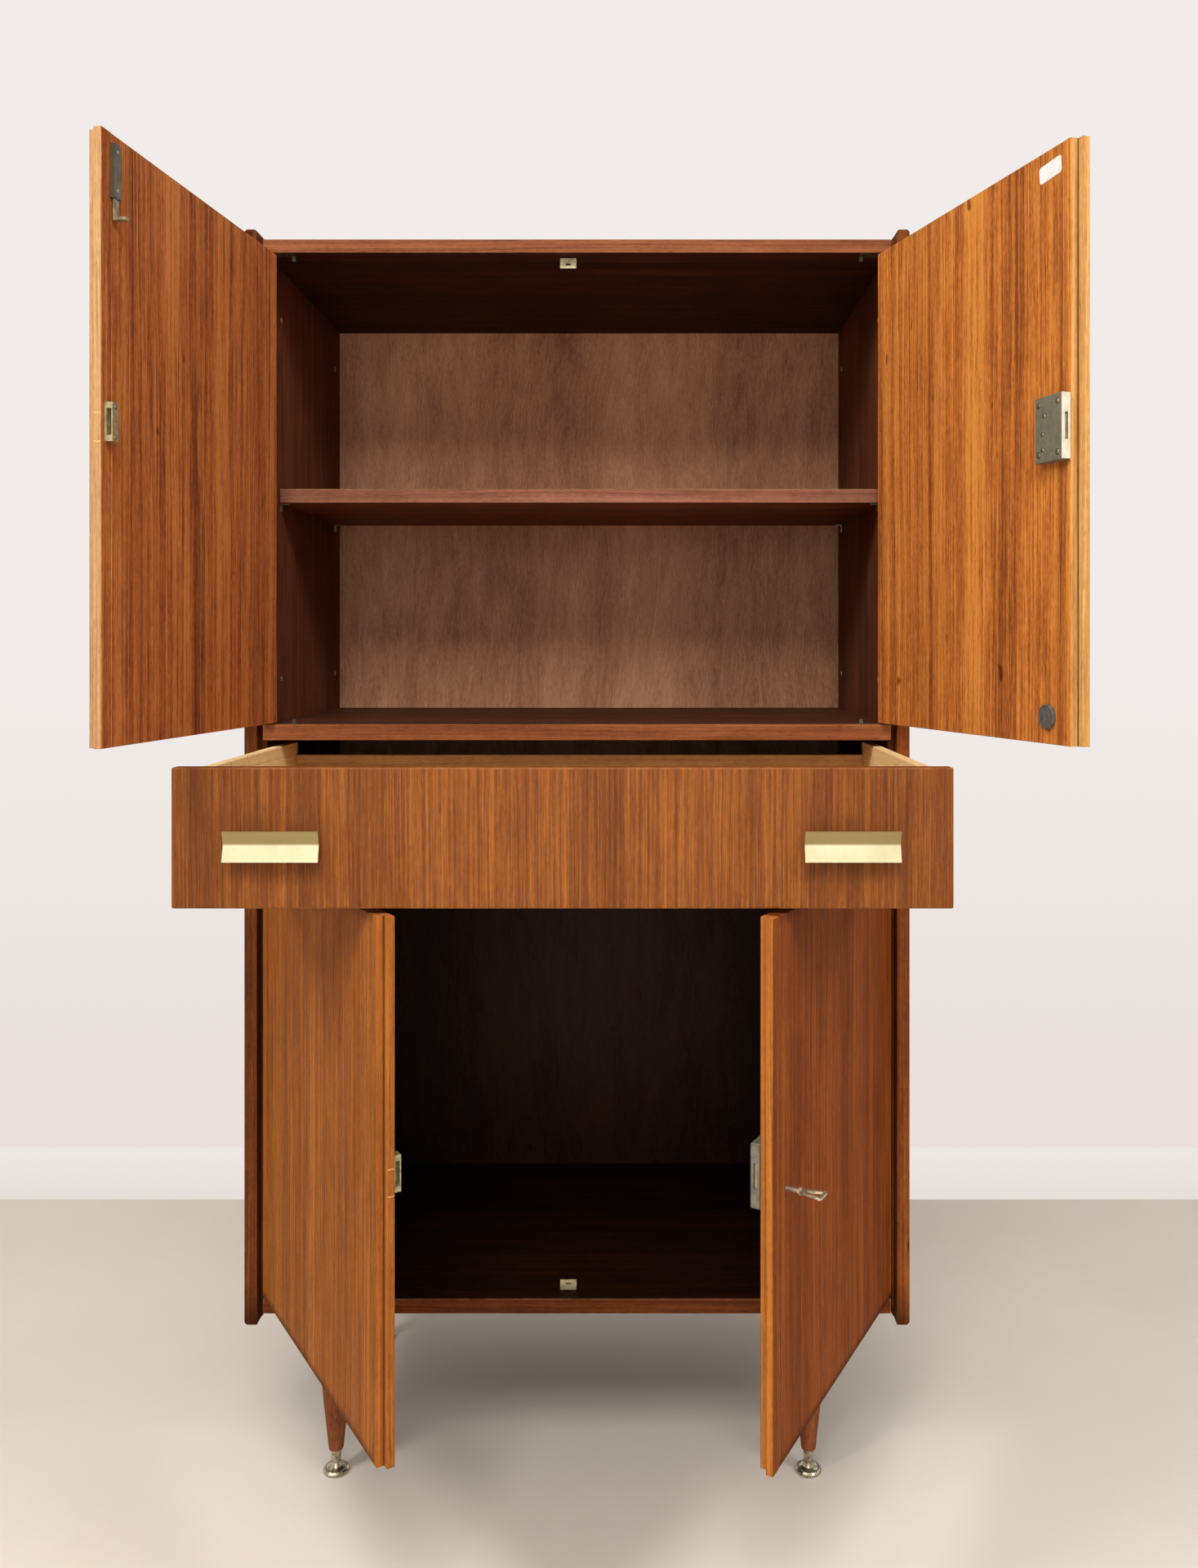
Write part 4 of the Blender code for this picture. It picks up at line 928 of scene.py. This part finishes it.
# %% Screws of the fixed hinge leaves and keepers
boards = {"lower_low": "bottom_board", "lower_high": "dust_board", "upper_low": "divider_board",
          "upper_high": "top_board"}
LEAF_SCREW, LEAF_SCREWS, LEAF_LINE = 0.0023, (0.014, 0.028), 0.0125
KEEPER_THICK, KEEPER_INSET_X, KEEPER_INSET_Y = 0.0015, 0.005, 0.006
fixed_up, fixed_down = [], []
for name in nodes:
    if name.startswith("pivot_"):
        end, hand = name[len("pivot_"):].rsplit("_", 1)
        low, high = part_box(name)
        board_low, board_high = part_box(boards[end])
        spots, z = (fixed_up, board_high.z) if "_low" in end else (fixed_down, board_low.z)
        for reach in LEAF_SCREWS:
            x = low.x + reach if hand == "left" else high.x - reach
            spots.append((x, low.y + LEAF_LINE, z))
for name, spots in (("top_keeper", fixed_down), ("bottom_keeper", fixed_up)):
    low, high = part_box(name)
    z = low.z + KEEPER_THICK if name == "bottom_keeper" else high.z - KEEPER_THICK
    spots += [(x, high.y - KEEPER_INSET_Y, z)
              for x in (low.x + KEEPER_INSET_X, high.x - KEEPER_INSET_X)]
screw_row("fixed_screws_up", fixed_up, "carcass", UP, LEAF_SCREW, dark_bronze, 17)
screw_row("fixed_screws_down", fixed_down, "carcass", DOWN, LEAF_SCREW, dark_bronze, 19)

# %% [markdown]
# The shelf can be set at other heights, so each side has spare sockets above and below. Each is a
# metal bush: a ring that stands a hair proud of the wood, round a dark disc of painted shade that
# stands for the hole.

# %% Spare shelf sockets
SOCKET_HEIGHTS = (1.615, 1.105)
SOCKET_RING, SOCKET_HOLE = 0.0030, 0.0027
support_low, support_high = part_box("shelf_support_front_left")
rear_low, rear_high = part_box("shelf_support_rear_left")
rows = ((support_low.y + support_high.y) / 2, (rear_low.y + rear_high.y) / 2)
for hand, x, facing in (("left", middle_x - inner_half, (1.0, 0.0, 0.0)),
                        ("right", middle_x + inner_half, (-1.0, 0.0, 0.0))):
    spots = [(x, y, z) for y in rows for z in SOCKET_HEIGHTS]
    head_row(f"sockets_{hand}", spots, "carcass", facing, SOCKET_RING, 0.0005, keeper_brass,
             ringed=True)
    # A dark disc of painted shade stands for each hole.
    head_row(f"socket_holes_{hand}", spots, "carcass", facing, SOCKET_HOLE, 0.0002, hole_shade)

# %% [markdown]
# The plywood back is nailed into its rabbets all the way round, and across the middle to the
# hidden edges of the divider and of the dust board. The nails are set out at an even pitch.

# %% Back nails
RIM, RIM_PITCH, BOARD_PITCH = 0.006, 0.12, 0.16
back_low, back_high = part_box("back_panel")


def even_run(low, high, pitch):
    count = max(2, round((high - low) / pitch) + 1)
    return [low + (high - low) * i / (count - 1) for i in range(count)]


left_x, right_x = back_low.x + RIM, back_high.x - RIM
low_z, high_z = back_low.z + RIM, back_high.z - RIM
nails = [(x, z) for x in (left_x, right_x) for z in even_run(low_z, high_z, RIM_PITCH)]
nails += [(x, z) for z in (low_z, high_z) for x in even_run(left_x, right_x, RIM_PITCH)[1:-1]]
for name in ("divider_board", "dust_board"):
    low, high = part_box(name)
    nails += [(x, (low.z + high.z) / 2) for x in even_run(left_x, right_x, BOARD_PITCH)[1:-1]]
nails = [(x, back_high.y, z) for x, z in nails]
head_row("back_nails", nails, "carcass", REAR, 0.0019, 0.0005, aged_nickel)

# %% [markdown]
# Each right door has a keyhole on its outside, a dark eye with a narrow tail, a thin plug of painted
# shade that stands for the hole. The lower one is open in the middle, to let the key's stem through.

# %% Keyholes
def keyhole(name, body, x, face_y, z, shank=0.0002):
    """A keyhole as a thin dark plug of painted shade, an eye with a narrow tail; shank leaves room
    for a key's stem.
    """
    eye, tail, slot = 0.0036, 0.0115, 0.0013
    join = math.degrees(math.asin(slot / eye))
    corner = math.degrees(math.atan2(slot, tail))
    outline = [(-90 - corner, math.hypot(slot, tail)), (-90 + corner, math.hypot(slot, tail))]
    outline += [(-90 + join + (360 - 2 * join) * i / 20, eye) for i in range(21)]
    shape = bmesh.new()
    rings = []
    for y in (face_y - 0.0001, face_y + 0.0005):
        outer = [(math.radians(angle), radius) for angle, radius in outline]
        for ring in (outer, [(angle, shank) for angle, radius in outer]):
            rings.append(corners_of(shape, [(x + radius * math.cos(angle), y,
                                             z + radius * math.sin(angle))
                                            for angle, radius in ring]))
    closed_frame(shape, *rings)
    return finished_piece(name, mesh_from(shape), body, hole_shade)


key_low, key_high = shut_box("key")
key_x, key_z = (key_low.x + key_high.x) / 2, (key_low.z + key_high.z) / 2
upper_z = shut_box("upper_lock_case")[0].z + key_z - shut_box("lower_lock_case")[0].z
keyhole("upper_keyhole_front", "upper_right_door", key_x, shut_box("door_upper_right")[0].y,
        upper_z)
keyhole("lower_keyhole_front", "lower_right_door", key_x, shut_box("door_lower_right")[0].y,
        key_z, shank=0.0028)
print("keyholes at", round(key_x, 4), round(upper_z, 4))

# %% [markdown]
# A curved saw kerf was left above and below each strike. Its edges catch the light as two fine pale
# arcs across the strip's edge, drawn as a painted highlight: each is a thin bent ribbon of pale wood
# laid on the edge.

# %% Kerfs beside the strikes
# Painted highlight: pale wood standing for the light that the kerfs' edges catch.
fresh_wood = clouded("fresh_wood", (214, 158, 96), (240, 196, 136), 400.0, 0.6,
                     stretch=(1.0, 1.0, 6.0))[0]


def bent_ribbon(x, low_y, high_y, z, sag, height=0.0008, proud=0.00012, sunk=0.0003):
    """A ribbon across a strip's edge that bows up or down in the middle."""
    shape = bmesh.new()
    rows = []
    for i in range(9):
        part = i / 8
        y = low_y + (high_y - low_y) * part
        mid = z + sag * (1 - (2 * part - 1) ** 2)
        rows.append(corners_of(shape, ((x + proud, y, mid), (x + proud, y, mid + height),
                                       (x - sunk, y, mid + height), (x - sunk, y, mid))))
    for near, far in zip(rows, rows[1:]):
        bridge(shape, near, far)
    shape.faces.new(rows[0])
    shape.faces.new(rows[-1])
    return mesh_from(shape)


for level in LEVELS:
    strip = "lipping_" + level + "_left"
    low, high = shut_box(strip)
    strike_low, strike_high = shut_box(level + "_strike")
    step_y = step_corner(strip)[1]
    for end, z, sag in (("low", strike_low.z - 0.0006, -0.0008),
                        ("high", strike_high.z - 0.0125, 0.0008)):
        ribbon = bent_ribbon(high.x, step_y + VENEER, high.y - VENEER, z, sag)
        finished_piece(f"{level}_kerf_{end}", ribbon, level + "_left_door", fresh_wood)
print("kerfs on the strips at x", round(high.x, 4))

# %% [markdown]
# A small paper label is stuck askew near the top corner of the right upper door. It is blank
# here: old paper, gone slightly yellow and a little glossy where it has been rubbed. Its round
# corners are drawn on the shut door, so its tilt comes with it.

# %% Blank label
label_paper, sketch, shader, place, cloud = clouded(
    "label_paper", (234, 236, 234), (216, 212, 200), 90.0, (0.35, 0.6), 4.0, 0.6, 0.75, 0.35)
fibres = sketch.noise(place, 1400.0)
sketch.feed(shader, {"Normal": sketch.bump(fibres, 0.15, 0.0002)})


def round_cornered(width, height, radius, thick):
    """A thin sheet across Y with rounded corners."""
    shape = bmesh.new()
    outline = []
    for quarter, (sign_x, sign_z) in enumerate(((1, 1), (-1, 1), (-1, -1), (1, -1))):
        for step in range(5):
            angle = math.radians(quarter * 90 + step * 22.5)
            outline.append((sign_x * (width / 2 - radius) + radius * math.cos(angle),
                            sign_z * (height / 2 - radius) + radius * math.sin(angle)))
    rows = [corners_of(shape, [(x, y, z) for x, z in outline]) for y in (0.0, thick)]
    for row in rows:
        shape.faces.new(row)
    bridge(shape, *rows)
    return mesh_from(shape)


TILT = math.radians(4)
LABEL_IN, LABEL_DOWN = 0.0235, 0.0225
leaf_low, leaf_high = shut_box("door_upper_right")
centre = Vector((leaf_low.x + LABEL_IN, leaf_high.y, leaf_high.z - LABEL_DOWN))
label = round_cornered(width=0.038, height=0.0185, radius=0.0035, thick=0.00025)
label.transform(Matrix.Translation(centre) @ Matrix.Rotation(TILT, 4, 'Y'))
finished_piece("blank_label", label, "upper_right_door", label_paper)
print("label at", [round(v, 4) for v in centre])

# %% [markdown]
# The round pad inside the same door has a thin raised rim, a wire bent into a ring.

# %% Pad rim
def ring_mesh(centre, radius, wire, segments=40, sides=8):
    """A ring in the XZ plane, for the raised rim of the pad."""
    shape = bmesh.new()
    rows = []
    for i in range(segments):
        angle = math.tau * i / segments
        out = Vector((math.cos(angle), 0.0, math.sin(angle)))
        rolls = [math.tau * j / sides for j in range(sides)]
        rows.append(corners_of(shape, [centre + out * (radius + wire * math.cos(roll))
                                       + Vector((0.0, wire * math.sin(roll), 0.0))
                                       for roll in rolls]))
    for near, far in zip(rows, rows[1:] + rows[:1]):
        bridge(shape, near, far)
    return mesh_from(shape)


RIM_INSET, RIM_WIRE = 0.0016, 0.0005
pad_low, pad_high = shut_box("door_pad")
pad_centre = (pad_low + pad_high) / 2
pad_centre.y = pad_high.y
rim_radius = (pad_high.x - pad_low.x) / 2 - RIM_INSET
finished_piece("pad_rim", ring_mesh(pad_centre, rim_radius, RIM_WIRE), "upper_right_door",
               pad_grey)
print("pad rim radius", round(rim_radius, 4))

# %% [markdown]
# The set: a pale floor and, a step behind the cabinet, a pale wall with a skirting board. The
# wall is only for the eye. It glows at its own colour for camera, glossy and transmitted rays,
# seen from the front alone, and lets all light through, so that it throws no shade and hides
# nothing in views from behind. The floor is ordinary matt stuff and takes the shadow.

# %% Floor
ROOM = 12.0
floor_matt = clouded("floor_matt", (234, 223, 210), (238, 228, 216), 3.0, 0.75, 4.0, 0.6)[0]


def stage_sheet(name, near_y, far_y, top, material):
    """A sheet across the whole room, from the floor at one depth to a height at another."""
    mesh = bpy.data.meshes.new(name)
    mesh.from_pydata([(-ROOM, near_y, 0.0), (ROOM, near_y, 0.0), (ROOM, far_y, top),
                      (-ROOM, far_y, top)], [], [(0, 1, 2, 3)])
    mesh.materials.append(material)
    sheet = linked(name, mesh)


stage_sheet("floor", -ROOM, ROOM, 0.0, floor_matt)
print("floor laid")

# %% Wall and skirting
def seen_rays(sketch):
    """One for the rays that show a thing to the eye, straight, mirrored or through glass."""
    rays = sketch.node("ShaderNodeLightPath").outputs
    seen = sketch.maths("MAXIMUM", rays["Is Camera Ray"], rays["Is Glossy Ray"])
    return sketch.maths("MAXIMUM", seen, rays["Is Transmission Ray"])


def glowing(name, top, bottom, low_z, high_z):
    """Shows a soft upright shade of its own to the eye, and is clear to all other light."""
    material, sketch, shader = new_material(name)
    tree = material.node_tree
    tree.nodes.remove(shader)
    height = sketch.parts(sketch.here())["Z"]
    shade = sketch.mix(sketch.span(height, low_z, high_z), srgb(*bottom), srgb(*top))
    glow = sketch.first("ShaderNodeEmission", {"Color": shade, "Strength": 1.0})
    clear = sketch.first("ShaderNodeBsdfTransparent")
    behind = sketch.node("ShaderNodeNewGeometry").outputs["Backfacing"]
    shown = sketch.maths("MULTIPLY", seen_rays(sketch), sketch.maths("SUBTRACT", 1.0, behind))
    both = sketch.first("ShaderNodeMixShader", {0: shown, 1: clear, 2: glow})
    sketch.feed(tree.nodes["Material Output"], {"Surface": both})
    return material


WALL_BACK = 0.929
WALL_Y = front_y + WALL_BACK
SKIRT_H, SKIRT_T = 0.1075, 0.014
wall_tone = glowing("wall_tone", (241, 236, 233), (234, 225, 221), 0.3, 1.1)
skirt_tone = glowing("skirt_tone", (238, 232, 228), (230, 223, 217), 0.0, SKIRT_H)
stage_sheet("wall", WALL_Y, WALL_Y, ROOM / 2, wall_tone)
stage_sheet("skirting", WALL_Y - SKIRT_T, WALL_Y - SKIRT_T, SKIRT_H, skirt_tone)
print("wall at", round(WALL_Y, 3))

# %% [markdown]
# The light is plain. The sky is bright overhead and dim near the ground, and dimmer still behind,
# where the wall would stand in its way, so that the floor under the cabinet falls dark. A lamp
# high in front lights the boards, a weak one at eye height reaches into the cabinet, and two high
# at the sides light the open doors and lay the drawer's shadow on the lower ones. The left one of
# these two is the stronger, as in the photograph the right upper door is the brightest.

# %% Light
GROUND_AHEAD, GROUND_BEHIND = (0.19, 0.155, 0.125, 1.0), (0.11, 0.09, 0.075, 1.0)
DOME = (0.6, 0.59, 0.58, 1.0)
scene = bpy.context.scene
world = bpy.data.worlds.new("Studio")
scene.world = world
world.use_nodes = True
w = Sketch(world.node_tree)
aim = w.parts(w.node("ShaderNodeTexCoord").outputs["Generated"])
ground = w.mix(w.span(aim["Y"], -0.3, 0.6), GROUND_AHEAD, GROUND_BEHIND)
rise_from, rise_to = w.span(aim["Y"], -0.2, 0.4, 0.05, 0.5), w.span(aim["Y"], -0.2, 0.4, 0.55, 1.0)
dome_light = w.mix(w.span(aim["Z"], rise_from, rise_to), ground, DOME)
backdrop = w.mix(w.span(aim["Z"], 0.15, 0.7), srgb(250, 247, 243), srgb(196, 190, 182))
w.feed(world.node_tree.nodes["Background"], {"Color": w.mix(seen_rays(w), dome_light, backdrop)})


def soft_lamp(name, place, target, size, watts, tint):
    data = bpy.data.lights.new(name, 'AREA')
    data.shape = 'SQUARE'
    data.size = size
    data.energy = watts
    data.color = tint
    lamp = linked(name, data)
    lamp.location = place
    aim = Vector(target) - Vector(place)
    lamp.rotation_euler = aim.to_track_quat('-Z', 'Y').to_euler()


soft_lamp("ceiling_lamp", (-0.2, -2.4, 3.2), (0.0, 0.0, 0.8), 1.1, 60.0, (1.0, 0.985, 0.96))
soft_lamp("front_lamp", (-0.1, -3.4, 1.3), (0.0, 0.0, 1.1), 1.4, 21.0, (1.0, 0.985, 0.96))
soft_lamp("left_lamp", (-2.1, -1.7, 3.1), (0.0, -0.1, 0.9), 0.7, 40.0, (1.0, 0.98, 0.95))
soft_lamp("right_lamp", (2.1, -1.7, 3.1), (0.0, -0.1, 0.9), 0.7, 29.0, (1.0, 0.99, 0.97))
scene.view_settings.view_transform = 'Standard'
